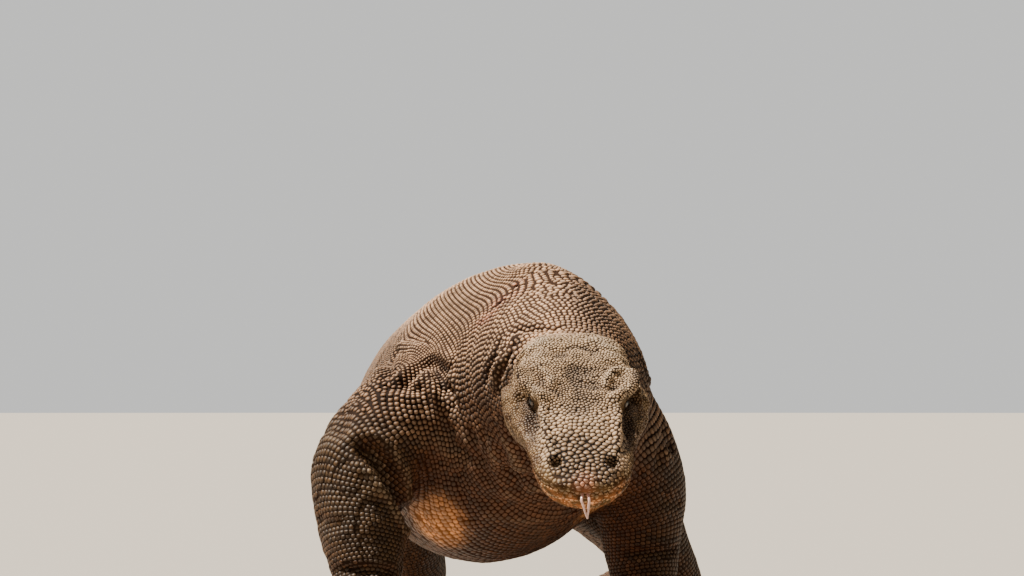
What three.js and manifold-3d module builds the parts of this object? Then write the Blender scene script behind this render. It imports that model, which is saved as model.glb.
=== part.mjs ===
// A komodo dragon (Varanus komodoensis) at life size, walking with its head lowered and its tongue out.
// Millimetres, +Z up. The animal faces -Y and its right side is -X.
//
// The body is one long loft from the nape to the tail tip, parted by thin cuts where a person would name
// its parts. The head is a second loft in a frame of its own, and each limb is a bent, tapered loft that is
// cut to the flank it grows from. All soles and the far half of the tail rest on one level.

import * as THREE from 'three';
import { mergeVertices } from 'three/addons/utils/BufferGeometryUtils.js';
import Module from 'manifold-3d';

const wasm = await Module();
wasm.setup();

// ---- driving dimensions -------------------------------------------------------------------------------

const GAP = 0.3; // clearance between neighbouring pieces
const FLOOR = 0; // level of the soles and of the resting tail
const SINK = 1.6; // how far soft undersides are pressed flat at the floor
const REACH = 4000; // longer than the animal, for half-spaces

const BODY_SIDES = 20;
const BODY_RING = 0.5; // stations from one ring of facets to the next

// Stations of the body from nape to tail tip: centre, half-width, height above and depth below the centre,
// how square its upper half is (2 is an ellipse, less is more pointed), and how far the middle of the
// underside hangs to the animal's right, as the weight is on that leg.
const SPINE = [
  { name: 'nape', x: 66, y: -286, z: 304, half: 50, up: 40, down: 44, square: 2.1, keel: 0 },
  { name: 'fore_neck', x: 63, y: -212, z: 305, half: 67, up: 70, down: 70, square: 2.1, keel: 0 },
  { name: 'mid_neck', x: 56, y: -130, z: 310, half: 89, up: 97, down: 98, square: 1.85, keel: 0 },
  { name: 'neck_root', x: 42, y: -40, z: 300, half: 115, up: 141, down: 141, square: 1.6, keel: 8 },
  { name: 'shoulders', x: 14, y: 60, z: 278, half: 144, up: 161, down: 164, square: 1.88, keel: 36 },
  { name: 'ribs', x: -14, y: 180, z: 264, half: 150, up: 157, down: 156, square: 1.88, keel: 18 },
  { name: 'belly', x: -26, y: 330, z: 258, half: 151, up: 150, down: 151, square: 1.9, keel: 6 },
  { name: 'loin', x: -16, y: 480, z: 256, half: 136, up: 138, down: 134, square: 1.95, keel: 0 },
  { name: 'hips', x: 6, y: 625, z: 250, half: 112, up: 112, down: 104, square: 2, keel: 0 },
  { name: 'tail_root', x: 36, y: 750, z: 236, half: 76, up: 84, down: 78, square: 2, keel: 0 },
  { name: 'thick_tail', x: 88, y: 920, z: 194, half: 54, up: 68, down: 64, square: 2, keel: 0 },
  { name: 'mid_tail', x: 160, y: 1140, z: 122, half: 38, up: 57, down: 54, square: 2, keel: 0 },
  { name: 'low_tail', x: 196, y: 1360, z: 58, half: 29, up: 48, down: 47, square: 2, keel: 0 },
  { name: 'resting_tail', x: 186, y: 1560, z: 37, half: 21, up: 37, down: 37 + SINK, square: 2, keel: 0 },
  { name: 'thin_tail', x: 150, y: 1760, z: 22, half: 13, up: 23, down: 22 + SINK, square: 2, keel: 0 },
  { name: 'tail_point', x: 102, y: 1945, z: 6, half: 3.5, up: 6, down: 6, square: 2, keel: 0 },
];

// Where the body is parted, by station number.
const BODY_PARTS = [
  { name: 'neck', from: 0, to: 3 },
  { name: 'chest', from: 3, to: 5 },
  { name: 'belly', from: 5, to: 7 },
  { name: 'pelvis', from: 7, to: 9 },
  { name: 'tail_root', from: 9, to: 10.5 },
  { name: 'tail_middle', from: 10.5, to: 12 },
  { name: 'tail_end', from: 12, to: 13.5 },
  { name: 'tail_tip', from: 13.5, to: SPINE.length - 1 },
];
const UNDER_SQUARE = 1.95; // the same for its lower half
const FLANK_END = 10; // the limbs grow from the body ahead of this station

// The head has a frame of its own: u forward from the back of the skull, v to the left, w up.
const HEAD_LENGTH = 222;
const HEAD_ORIGIN = new THREE.Vector3(67, -306, 314);
const HEAD_PITCH = THREE.MathUtils.degToRad(31); // nose down
const HEAD_YAW = THREE.MathUtils.degToRad(3); // nose to the left
const HEAD_ROLL = THREE.MathUtils.degToRad(-1);
const HEAD_BACK = -46; // the loft starts inside the neck
const NOSE_START = 160; // where the snout begins to round off
const NOSE_CAP = 0.3; // the loft stops this short of its tip
const HEAD_SIDES = 28;
const HEAD_RINGS = 16;
const NOSE_RINGS = 6;

// Stations of the head: place along it, half-width, top, level of the widest place, underside, how much
// narrower the roof is than the cheeks, how far the lower jaw is tucked in under the upper lip, as a share of
// the half-width, and how square the upper half is (2 is an ellipse).
const HEAD = [
  { u: -46, half: 46, top: 22, wide: -2, under: -42, taper: 0.05, tuck: 0, square: 2.4 },
  { u: -30, half: 56, top: 37, wide: -2, under: -50, taper: 0.07, tuck: 0, square: 2.8 },
  { u: 0, half: 63, top: 44, wide: -2, under: -58, taper: 0.1, tuck: 0, square: 3.1 },
  { u: 34, half: 69, top: 42, wide: -5, under: -60, taper: 0.18, tuck: 0, square: 3.3 },
  { u: 66, half: 73, top: 38, wide: -5, under: -55, taper: 0.28, tuck: 0.01, square: 3.5 },
  { u: 98, half: 67, top: 32, wide: -2, under: -48, taper: 0.26, tuck: 0.1, square: 3.1 },
  { u: 130, half: 57, top: 26, wide: 0, under: -42, taper: 0.24, tuck: 0.12, square: 2.7 },
  { u: 160, half: 53, top: 21, wide: 0, under: -37, taper: 0.22, tuck: 0.07, square: 2.5 },
  { u: 190, half: 51, top: 17, wide: -2, under: -33, taper: 0.2, tuck: 0.01, square: 2.4 },
  { u: 222, half: 50, top: 12, wide: -5, under: -29, taper: 0.18, tuck: 0, square: 2.3 },
];
const LOWER_SQUARE = 2.3; // the same squareness for the head's lower half
const TUCK_RISE = 0.22; // how far round below the widest place the tuck is complete, as a sine

// Swellings and hollows of the head, mirrored on both sides: place, reach along u, v and w, and height.
const HEAD_RELIEF = [
  { name: 'brow', u: 74, v: 51, w: 36, ru: 26, rv: 11, rw: 10, height: 9 },
  { name: 'brow_front', u: 97, v: 36, w: 35, ru: 14, rv: 16, rw: 10, height: 3 },
  { name: 'eye_hollow', u: 86, v: 58, w: 18, ru: 17, rv: 16, rw: 11, height: -10 },
  { name: 'lore_hollow', u: 116, v: 50, w: 10, ru: 18, rv: 12, rw: 10, height: -6 },
  { name: 'snout_edge', u: 150, v: 33, w: 20, ru: 34, rv: 10, rw: 9, height: 3 },
  { name: 'nostril_swelling', u: 188, v: 30, w: 10, ru: 15, rv: 13, rw: 9, height: 3 },
  { name: 'jowl', u: 54, v: 70, w: -14, ru: 30, rv: 18, rw: 22, height: 4 },
  { name: 'lower_lip', u: 206, v: 0, w: -18, ru: 24, rv: 40, rw: 9, height: 3 },
  { name: 'temple_hollow', u: 0, v: 62, w: 22, ru: 26, rv: 12, rw: 12, height: -4 },
  { name: 'ear_hollow', u: 8, v: 62, w: 6, ru: 13, rv: 10, rw: 15, height: -5 },
];

const EYE = { u: 85, v: 39.5, w: 20.5, radius: 10.5 };
const EYE_CLEARANCE = 0.4;
const EYE_SIDES = 12;
const NOSTRIL = { u: 187, v: 27.5, w: 13, along: 6, across: 4.2, deep: 7 };
const EAR = { u: 10, v: 62, w: 7, along: 6.5, across: 6, tall: 11 };

// The closed mouth: its line along the head, and where the lower jaw is parted from the cheek.
const MOUTH = [
  { u: 260, w: -2 },
  { u: 200, w: -3 },
  { u: 150, w: -3 },
  { u: 100, w: -4 },
];
const JAW_HINGE = { u: 62, w: -1, throat: 44 };
const SLIT = 0.5; // height of the closed mouth's slit

// The tongue leaves a notch at the front of the lips, forks and droops to one place.
const TONGUE = { start: 188, width: 5.2, tine: 1.6, tip: 0.6, spread: 5, drop: 18, notch: 0.5 };

// Limbs: joints from root to wrist or ankle with the limb's radius there, and how flat it is front to back.
const LIMBS = {
  right_fore: {
    upper: 'upper_arm', lower: 'forearm', end: 'hand',
    joints: [
      { x: -58, y: 34, z: 280, r: 82, flat: 1.25 },
      { x: -116, y: -8, z: 250, r: 71, flat: 1.12 },
      { x: -158, y: -44, z: 205, r: 57, flat: 1.05 },
      { x: -152, y: -74, z: 134, r: 45, flat: 1 },
      { x: -146, y: -98, z: 74, r: 32, flat: 0.9 },
      { x: -147, y: -122, z: 30, r: 26, flat: 0.85 },
    ],
    heading: -4, side: -1,
  },
  left_fore: {
    upper: 'upper_arm', lower: 'forearm', end: 'hand',
    joints: [
      { x: 62, y: 40, z: 276, r: 82, flat: 1.25 },
      { x: 108, y: 36, z: 246, r: 71, flat: 1.12 },
      { x: 143, y: 58, z: 192, r: 55, flat: 1.05 },
      { x: 147, y: 66, z: 128, r: 43, flat: 1 },
      { x: 149, y: 58, z: 74, r: 33, flat: 0.9 },
      { x: 150, y: 40, z: 30, r: 27, flat: 0.85 },
    ],
    heading: 8, side: 1,
  },
  right_hind: {
    upper: 'thigh', lower: 'shin', end: 'foot',
    joints: [
      { x: -48, y: 622, z: 252, r: 82, flat: 1.2 },
      { x: -104, y: 634, z: 214, r: 71, flat: 1.12 },
      { x: -146, y: 652, z: 164, r: 54, flat: 1.05 },
      { x: -122, y: 694, z: 112, r: 43, flat: 1 },
      { x: -106, y: 736, z: 74, r: 32, flat: 0.95 },
      { x: -110, y: 764, z: 34, r: 26, flat: 0.9 },
    ],
    heading: -14, side: -1,
  },
  left_hind: {
    upper: 'thigh', lower: 'shin', end: 'foot',
    joints: [
      { x: 56, y: 608, z: 246, r: 82, flat: 1.2 },
      { x: 108, y: 562, z: 203, r: 72, flat: 1.12 },
      { x: 152, y: 514, z: 156, r: 53, flat: 1.05 },
      { x: 178, y: 526, z: 110, r: 40, flat: 1 },
      { x: 202, y: 556, z: 72, r: 31, flat: 0.95 },
      { x: 212, y: 574, z: 34, r: 26, flat: 0.9 },
    ],
    heading: 16, side: 1,
  },
};
const LIMB_SIDES = 14;
const LIMB_RING = 0.5; // joints from one ring of facets to the next
const BEND_REACH = 0.9; // stretch of a limb, in joints, over which a bend is spread
const ELBOW = 2; // the joint where a limb is parted, elbow or knee

// Hands and feet: a pad and five toes each, listed from the inner toe to the outer one.
const FORE_FOOT = {
  pad: { length: 62, half: 33, thick: 25, back: 20 },
  toes: [
    { angle: 48, length: 44, root: 9.5 },
    { angle: 22, length: 62, root: 10.5 },
    { angle: 2, length: 70, root: 11 },
    { angle: -19, length: 66, root: 10.5 },
    { angle: -52, length: 46, root: 9.5 },
  ],
  claw: 36,
};
const HIND_FOOT = {
  pad: { length: 84, half: 34, thick: 27, back: 34 },
  toes: [
    { angle: 40, length: 46, root: 10 },
    { angle: 20, length: 66, root: 11 },
    { angle: 3, length: 84, root: 11.5 },
    { angle: -14, length: 98, root: 11.5 },
    { angle: -58, length: 60, root: 10 },
  ],
  claw: 34,
};
// Stations of a pad, from heel to toes: how far behind or ahead of the ankle they lie, as shares of the pad's
// back and length, then the level of the centre and the height above it as shares of the pad's thickness.
const PAD_STATIONS = [
  { back: -1, ahead: 0, level: 0.62, half: 0.58, up: 0.5 },
  { back: 0, ahead: 0, level: 0.72, half: 0.86, up: 0.85 },
  { back: 0, ahead: 0.55, level: 0.5, half: 1, up: 0.55 },
  { back: 0, ahead: 1, level: 0.36, half: 0.72, up: 0.36 },
];
const PAD_SQUARE = 2.3;
const PAD_SIDES = 10;
const PAD_RINGS = 5;
const TOE_START = 0.72; // where on the pad's length the toes are counted from
const TOE_INSET = 18; // how far each toe reaches back into the pad
const TOE_FAN = 1.25; // spread of the toes' roots, as a share of the pad's half-width
const TOE_SINK = 1; // how far a toe is pressed into the floor before it is flattened
// Stations of a toe: thickness as a share of its root's, and how high its knuckle is lifted.
const TOE_STATIONS = [
  { thick: 1.15, lift: 3 },
  { thick: 1, lift: 7 },
  { thick: 0.98, lift: 9 },
  { thick: 0.86, lift: 3.5 },
  { thick: 0.74, lift: 0 },
];
const TOE_SIDES = 6;
const TOE_RINGS = 4;
// Stations of a claw: share of its length, and height as a share of the toe's root.
const CLAW_STATIONS = [
  { part: 0, rise: 0.95 },
  { part: 0.3, rise: 1.5 },
  { part: 0.72, rise: 1.28 },
  { part: 1, rise: 0 },
];
const CLAW_TIP_HEIGHT = 1.6;
const CLAW_TAPER = 0.86; // share of its thickness that a claw loses to its tip
const CLAW_NARROW = 0.62; // a claw's width as a share of its height
const CLAW_SIDES = 5;
const CLAW_RINGS = 3;
const CLAW_ROOT = 5.2; // half-height of a claw where it leaves the toe
const CLAW_INSET = 6; // how far the claw is set into its sheath

// ---- materials ----------------------------------------------------------------------------------------

const HIDE = new THREE.MeshStandardMaterial({ color: 0x8a7358, roughness: 0.75, metalness: 0 });
const CLAW = new THREE.MeshStandardMaterial({ color: 0x2b2622, roughness: 0.4, metalness: 0 });
const EYEBALL = new THREE.MeshStandardMaterial({ color: 0x1b120c, roughness: 0.08, metalness: 0 });
const TONGUE_FLESH = new THREE.MeshStandardMaterial({ color: 0xe3b6a8, roughness: 0.35, metalness: 0 });

// ---- shaping helpers ----------------------------------------------------------------------------------

/** Numbers from one value to another, evenly spaced. */
function evenly(from, to, steps) {
  return Array.from({ length: steps + 1 }, (_, k) => from + ((to - from) * k) / steps);
}

/** A closed tube through the rings point(s, angle) at each of the given places s, with a flat end each way. */
function loft(point, places, sides) {
  const rings = places.length - 1;
  const positions = [];
  const index = [];
  for (const s of places) {
    for (let j = 0; j < sides; j += 1) positions.push(...point(s, (2 * Math.PI * j) / sides).toArray());
  }
  const at = (i, j) => i * sides + (j % sides);
  for (let i = 0; i < rings; i += 1) {
    for (let j = 0; j < sides; j += 1) {
      index.push(at(i, j), at(i, j + 1), at(i + 1, j + 1));
      index.push(at(i, j), at(i + 1, j + 1), at(i + 1, j));
    }
  }
  for (const [ring, flip] of [[0, true], [rings, false]]) {
    const centre = new THREE.Vector3();
    for (let j = 0; j < sides; j += 1) centre.add(new THREE.Vector3().fromArray(positions, 3 * at(ring, j)));
    positions.push(...centre.divideScalar(sides).toArray());
    const hub = positions.length / 3 - 1;
    for (let j = 0; j < sides; j += 1) {
      if (flip) index.push(hub, at(ring, j + 1), at(ring, j));
      else index.push(hub, at(ring, j), at(ring, j + 1));
    }
  }
  const geometry = new THREE.BufferGeometry();
  geometry.setAttribute('position', new THREE.Float32BufferAttribute(positions, 3));
  geometry.setIndex(index);
  return geometry;
}

/** Turns a closed geometry into a solid that can be joined and cut. */
function solid(geometry) {
  const bare = geometry.clone();
  bare.deleteAttribute('normal');
  bare.deleteAttribute('uv');
  const welded = mergeVertices(bare, 1e-4);
  const made = new wasm.Manifold(new wasm.Mesh({
    numProp: 3,
    vertProperties: new Float32Array(welded.attributes.position.array),
    triVerts: new Uint32Array(welded.index.array),
  }));
  if (made.volume() < 0) throw new Error('a loft is inside out');
  return made;
}

/** Turns a solid back into a named mesh. */
function piece(name, made, material) {
  const { vertProperties, triVerts } = made.getMesh();
  const geometry = new THREE.BufferGeometry();
  geometry.setAttribute('position', new THREE.Float32BufferAttribute(vertProperties, 3));
  geometry.setIndex(Array.from(triVerts));
  geometry.computeVertexNormals();
  const mesh = new THREE.Mesh(geometry, material);
  mesh.name = name;
  return mesh;
}

/** A box solid between two corners. */
function block(low, high) {
  const size = new THREE.Vector3().subVectors(high, low);
  const box = new THREE.BoxGeometry(size.x, size.y, size.z);
  box.translate((low.x + high.x) / 2, (low.y + high.y) / 2, (low.z + high.z) / 2);
  return solid(box);
}

/** An ellipsoid solid at the origin. */
function ellipsoid(x, y, z, sides) {
  return solid(new THREE.SphereGeometry(1, sides, Math.round(sides * 0.6)).scale(x, y, z));
}

const UNDERGROUND = block(new THREE.Vector3(-REACH, -REACH, -REACH), new THREE.Vector3(REACH, REACH, FLOOR));

/** Presses a soft underside flat on the floor. */
function grounded(made) {
  return made.subtract(UNDERGROUND);
}

/** A smooth curve through three named sizes of a list of stations; t runs from 0 to the last station. */
function through(stations, a, b, c) {
  const curve = new THREE.CatmullRomCurve3(
    stations.map((p) => new THREE.Vector3(p[a] ?? 0, p[b] ?? 0, p[c] ?? 0)), false, 'catmullrom', 0.5,
  );
  const last = stations.length - 1;
  return (t) => curve.getPoint(THREE.MathUtils.clamp(t / last, 0, 1));
}

/** Axes of a section, sideways and up, with up as near as it can be to a given one. The curve's direction
 * is read over a stretch of 2 * reach, so that sections don't cross inside a bend. */
function sectionAxes(centre, t, upward, reach = 0.02) {
  const along = centre(t + reach).sub(centre(t - reach)).normalize();
  const side = new THREE.Vector3().crossVectors(upward, along).normalize();
  const up = new THREE.Vector3().crossVectors(along, side);
  return { side, up };
}

/** A cosine or sine bent towards a square, for a superellipse; 2 keeps it a circle. */
function squared(value, square) {
  return Math.sign(value) * Math.abs(value) ** (2 / square);
}

const X = new THREE.Vector3(1, 0, 0);
const Y = new THREE.Vector3(0, 1, 0);
const Z = new THREE.Vector3(0, 0, 1);

// ---- body ---------------------------------------------------------------------------------------------

const spineCentre = through(SPINE, 'x', 'y', 'z');
const spineSize = through(SPINE, 'half', 'up', 'down');
const spineShape = through(SPINE, 'square', 'keel', 'none');

/** The body between two stations, moved out by grow. */
function bodyLength(from, to, grow = 0) {
  const point = (t, angle) => {
    const { side, up } = sectionAxes(spineCentre, t, Z);
    const { x: half, y: above, z: below } = spineSize(t);
    const rise = Math.sin(angle);
    const { x: upperSquare, y: keel } = spineShape(t);
    const square = rise > 0 ? upperSquare : UNDER_SQUARE;
    const shift = rise > 0 ? 0 : -keel * squared(rise, square);
    return spineCentre(t)
      .addScaledVector(side, (half + grow) * squared(Math.cos(angle), square) + shift)
      .addScaledVector(up, ((rise > 0 ? above : below) + grow) * squared(rise, square));
  };
  const last = SPINE.length - 1;
  return solid(loft(point, parted(spineCentre, from, to, last, BODY_RING, grow), BODY_SIDES));
}

/** Places along one part of a curve; each inner end is drawn back by half a gap, less the growth. */
function parted(centre, from, to, last, step, grow) {
  const places = evenly(from, to, Math.round((to - from) / step));
  const near = 0.01;
  const back = (t) => ((GAP / 2 - grow) * 2 * near) / centre(t + near).distanceTo(centre(t - near));
  if (from > 0) places[0] += back(from);
  if (to < last) places[places.length - 1] -= back(to);
  return places;
}

/** The largest of the separate bodies that a cut may leave. */
function largest(made) {
  return made.decompose().sort((a, b) => b.volume() - a.volume())[0];
}

// ---- head ---------------------------------------------------------------------------------------------

const headForward = new THREE.Vector3(
  Math.sin(HEAD_YAW) * Math.cos(HEAD_PITCH), -Math.cos(HEAD_YAW) * Math.cos(HEAD_PITCH), -Math.sin(HEAD_PITCH),
);
const headLeft = new THREE.Vector3(Math.cos(HEAD_YAW), Math.sin(HEAD_YAW), 0)
  .applyAxisAngle(headForward, HEAD_ROLL);
const headUp = new THREE.Vector3().crossVectors(headForward, headLeft);
const HEAD_PLACE = new THREE.Matrix4().makeBasis(headForward, headLeft, headUp).setPosition(HEAD_ORIGIN);

/** Straight-line reading of one size of the head's stations, rounded at the stations by averaging. */
function headSize(u, key) {
  const read = (at) => {
    const last = HEAD.length - 1;
    const k = THREE.MathUtils.clamp(HEAD.findIndex((p) => p.u > at), 1, last);
    const from = HEAD[k === 0 ? last - 1 : k - 1];
    const to = HEAD[k];
    const part = THREE.MathUtils.clamp((at - from.u) / (to.u - from.u), 0, 1);
    return THREE.MathUtils.lerp(from[key], to[key], part);
  };
  const blur = 12;
  return (read(u - blur) + 2 * read(u) + read(u + blur)) / 4;
}

/** A point of the head's surface in its own frame, moved out by grow. */
function headPoint(grow) {
  return (u, angle) => {
    const past = THREE.MathUtils.clamp((u - NOSE_START) / (HEAD_LENGTH - NOSE_START), 0, 1);
    const roundPlan = Math.sqrt(1 - past ** 2.7);
    const roundSide = (1 - past ** 3) ** (1 / 2.4);
    const wide = headSize(u, 'wide');
    const across = Math.cos(angle);
    const rise = Math.sin(angle);
    const square = rise > 0 ? headSize(u, 'square') : LOWER_SQUARE;
    const height = (rise > 0 ? headSize(u, 'top') - wide : wide - headSize(u, 'under')) * roundSide + grow;
    const narrowing = rise > 0
      ? 1 - headSize(u, 'taper') * squared(rise, square) ** 1.5
      : 1 - headSize(u, 'tuck') * Math.min(1, -rise / TUCK_RISE);
    const local = new THREE.Vector3(
      u,
      (headSize(u, 'half') * roundPlan + grow) * squared(across, square) * narrowing,
      wide + height * squared(rise, square),
    );
    const outward = new THREE.Vector3(0, across, rise);
    let lift = 0;
    for (const r of HEAD_RELIEF) {
      const off = ((local.x - r.u) / r.ru) ** 2 + ((Math.abs(local.y) - r.v) / r.rv) ** 2
        + ((local.z - r.w) / r.rw) ** 2;
      lift += r.height * Math.exp(-off);
    }
    return local.addScaledVector(outward, lift);
  };
}

/** The whole head with its jaw, before the mouth, sockets and nostrils are cut. */
function wholeHead(grow = 0) {
  const skull = evenly(HEAD_BACK, NOSE_START, HEAD_RINGS);
  const nose = evenly(0, Math.PI / 2, NOSE_RINGS).slice(1)
    .map((turn) => NOSE_START + (HEAD_LENGTH - NOSE_START - NOSE_CAP) * Math.sin(turn));
  return solid(loft(headPoint(grow), [...skull, ...nose], HEAD_SIDES));
}

/** All that lies below the mouth line and ahead of the jaw's hinge; moved up and back by grow. */
function jawRegion(grow) {
  const wide = 120;
  const far = 300;
  const deep = -140;
  const outline = new THREE.Shape();
  outline.moveTo(JAW_HINGE.throat - grow, deep);
  outline.lineTo(far, deep);
  outline.lineTo(far, MOUTH[0].w + grow);
  outline.splineThru([...MOUTH, { u: JAW_HINGE.u - grow, w: JAW_HINGE.w }]
    .map((p) => new THREE.Vector2(p.u, p.w + grow)));
  outline.closePath();
  const prism = new THREE.ExtrudeGeometry(outline, { depth: 2 * wide, bevelEnabled: false, curveSegments: 2 });
  // The shape's plane (x, y) becomes (u, w) and the extrusion runs along v.
  prism.translate(0, 0, -wide).rotateX(Math.PI / 2);
  return solid(prism);
}

/** A round taper along a curve in the head's frame. */
function taperedCord(points, radii, rings, sides, reference = Z) {
  const centre = through(points, 'x', 'y', 'z');
  const radius = through(radii.map((r) => ({ r })), 'r', 'r', 'r');
  const last = points.length - 1;
  const point = (t, angle) => {
    const { side, up } = sectionAxes(centre, t, reference);
    const r = radius((t / last) * (radii.length - 1)).x;
    return centre(t).addScaledVector(side, r * Math.cos(angle)).addScaledVector(up, r * Math.sin(angle));
  };
  return solid(loft(point, evenly(0, last, rings), sides));
}

/** The forked tongue, moved out by grow. */
function tongueSolid(grow) {
  const lip = HEAD_LENGTH + 1.5;
  const level = MOUTH[1].w;
  const tines = [-1, 1].map((way) => taperedCord([
    { x: lip - 9, y: way * 0.35 * TONGUE.spread, z: level },
    { x: lip + 3, y: way * 0.75 * TONGUE.spread, z: level - 2.5 },
    { x: lip + 7, y: way * 0.52 * TONGUE.spread + 0.6, z: level - 0.4 * TONGUE.drop },
    { x: lip + 7 + 0.22 * TONGUE.drop, y: way * 0.33 * TONGUE.spread + 1.4, z: level - 0.75 * TONGUE.drop },
    { x: lip + 7 + 0.4 * TONGUE.drop, y: way * (TONGUE.tip + 0.2) + 2.2, z: level - TONGUE.drop },
  ], [TONGUE.tine + grow, TONGUE.tine + grow, TONGUE.tine * 0.8 + grow, TONGUE.tip + grow], 6, 6, X));
  const body = taperedCord([
    { x: TONGUE.start - grow, y: 0, z: level },
    { x: lip - 14, y: 0, z: level },
    { x: lip - 5 + grow, y: 0, z: level - 0.4 },
  ], [TONGUE.width / 2 + grow, TONGUE.width / 2 + grow, TONGUE.width / 2.2 + grow], 2, 8, Z);
  return body.add(tines[0]).add(tines[1]);
}

/** A round solid at the origin. */
function ball(radius) {
  return ellipsoid(radius, radius, radius, EYE_SIDES);
}

/** Head, lower jaw, tongue and eyes, in the body's frame. */
function headPieces() {
  const place = (made) => made.transform(HEAD_PLACE.elements);
  let whole = wholeHead();
  for (const way of [-1, 1]) {
    const socket = ball(EYE.radius + EYE_CLEARANCE)
      .translate([EYE.u, way * EYE.v, EYE.w]);
    const nostril = ellipsoid(NOSTRIL.along, NOSTRIL.deep, NOSTRIL.across, 8)
      .rotate([0, 20, way * -35]).translate([NOSTRIL.u, way * NOSTRIL.v, NOSTRIL.w]);
    const ear = ellipsoid(EAR.along, EAR.across, EAR.tall, 8).translate([EAR.u, way * EAR.v, EAR.w]);
    whole = whole.subtract(socket).subtract(nostril).subtract(ear);
  }
  const tongueRoom = tongueSolid(TONGUE.notch);
  const jaw = whole.intersect(jawRegion(-SLIT / 2)).subtract(tongueRoom);
  const skull = whole.subtract(jawRegion(SLIT / 2)).subtract(tongueRoom);
  const pieces = [
    piece('head', place(skull), HIDE),
    piece('lower_jaw', place(jaw), HIDE),
    piece('tongue', place(tongueSolid(0)), TONGUE_FLESH),
  ];
  for (const [name, way] of [['eye_right', -1], ['eye_left', 1]]) {
    pieces.push(piece(name, place(ball(EYE.radius).translate([EYE.u, way * EYE.v, EYE.w])), EYEBALL));
  }
  return pieces;
}

// ---- limbs --------------------------------------------------------------------------------------------

/** The bent, tapered limb between two of its joints, moved out by grow. */
function limbLength(limb, from, to, grow = 0) {
  const centre = through(limb.joints, 'x', 'y', 'z');
  const size = through(limb.joints, 'r', 'flat', 'none');
  const point = (t, angle) => {
    const { side, up } = sectionAxes(centre, t, Y, BEND_REACH);
    const { x: radius, y: flat } = size(t);
    return centre(t)
      .addScaledVector(side, (radius + grow) * Math.cos(angle))
      .addScaledVector(up, (radius * flat + grow) * Math.sin(angle));
  };
  return solid(loft(point, parted(centre, from, to, limb.joints.length - 1, LIMB_RING, grow), LIMB_SIDES));
}

/** A place on the floor plan of a foot: forward and outward from the ankle, turned by its heading. */
function footPlace(limb, forward, outward, z) {
  const ankle = limb.joints.at(-1);
  const turn = THREE.MathUtils.degToRad(limb.heading);
  return {
    x: ankle.x + forward * Math.sin(turn) + outward * limb.side * Math.cos(turn),
    y: ankle.y - forward * Math.cos(turn) + outward * limb.side * Math.sin(turn),
    z,
  };
}

/** The pad of a hand or foot with its toes, and the claws, each a solid. */
function footSolids(limb, foot) {
  const { pad } = foot;
  const centre = through(
    PAD_STATIONS.map((p) => footPlace(limb, p.back * pad.back + p.ahead * pad.length, 0, p.level * pad.thick)),
    'x', 'y', 'z',
  );
  const size = through(PAD_STATIONS.map((p) => (
    { half: p.half * pad.half, up: p.up * pad.thick, down: p.level * pad.thick + SINK }
  )), 'half', 'up', 'down');
  const padPoint = (t, angle) => {
    const { side, up } = sectionAxes(centre, t, Z);
    const { x: half, y: above, z: below } = size(t);
    const rise = Math.sin(angle);
    return centre(t)
      .addScaledVector(side, half * squared(Math.cos(angle), PAD_SQUARE))
      .addScaledVector(up, (rise > 0 ? above : below) * squared(rise, PAD_SQUARE));
  };
  let flesh = solid(loft(padPoint, evenly(0, PAD_STATIONS.length - 1, PAD_RINGS), PAD_SIDES));
  const claws = [];
  foot.toes.forEach((toe, k) => {
    const turn = THREE.MathUtils.degToRad(toe.angle);
    const spread = (k / (foot.toes.length - 1) - 0.5) * TOE_FAN * pad.half;
    const out = (s) => spread - s * Math.sin(turn);
    const along = (s) => pad.length * TOE_START + s * Math.cos(turn);
    const radii = TOE_STATIONS.map(({ thick }) => thick * toe.root);
    const points = TOE_STATIONS.map(({ lift }, i) => {
      const s = (i / (TOE_STATIONS.length - 1)) * (toe.length + TOE_INSET) - TOE_INSET;
      return footPlace(limb, along(s), out(s), FLOOR + radii[i] - TOE_SINK + lift);
    });
    const toeLength = (grow) => taperedCord(points, radii.map((r) => r + grow), TOE_RINGS, TOE_SIDES);
    flesh = flesh.add(toeLength(0));
    claws.push(grounded(clawSolid(limb, toe, foot.claw, along, out).subtract(toeLength(GAP))));
  });
  return { flesh: grounded(flesh), claws };
}

/** One curved, narrow claw. */
function clawSolid(limb, toe, length, along, out) {
  const points = CLAW_STATIONS.map(({ part, rise }, i) => {
    const s = toe.length + (i === 0 ? -CLAW_INSET : part * length);
    const height = i === CLAW_STATIONS.length - 1 ? CLAW_TIP_HEIGHT : rise * toe.root;
    return footPlace(limb, along(s), out(s), height);
  });
  const centre = through(points, 'x', 'y', 'z');
  const last = points.length - 1;
  const point = (t, angle) => {
    const { side, up } = sectionAxes(centre, t, Z);
    const radius = CLAW_ROOT * (1 - CLAW_TAPER * (t / last) ** 1.2);
    return centre(t)
      .addScaledVector(side, CLAW_NARROW * radius * Math.cos(angle))
      .addScaledVector(up, radius * Math.sin(angle));
  };
  return solid(loft(point, evenly(0, last, CLAW_RINGS), CLAW_SIDES));
}

/** Every piece of one limb, cut to the flank and to each other. */
function limbPieces(name, limb, foot, flank) {
  const [side, row] = name.split('_');
  const last = limb.joints.length - 1;
  const { flesh, claws } = footSolids(limb, foot);
  const upperRoom = limbLength(limb, 0, ELBOW, GAP);
  const parts = [
    [limb.upper, limbLength(limb, 0, ELBOW).subtract(flank)],
    [limb.lower, grounded(limbLength(limb, ELBOW, last).subtract(flank).subtract(upperRoom))],
    [limb.end, flesh.subtract(limbLength(limb, ELBOW, last, GAP))],
  ];
  return [
    ...parts.map(([label, made]) => piece(`${label}_${side}`, largest(made), HIDE)),
    ...claws.map((claw, k) => piece(`claw_${row}_${side}_${k + 1}`, largest(claw), CLAW)),
  ];
}

// ---- the whole animal ---------------------------------------------------------------------------------

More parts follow.
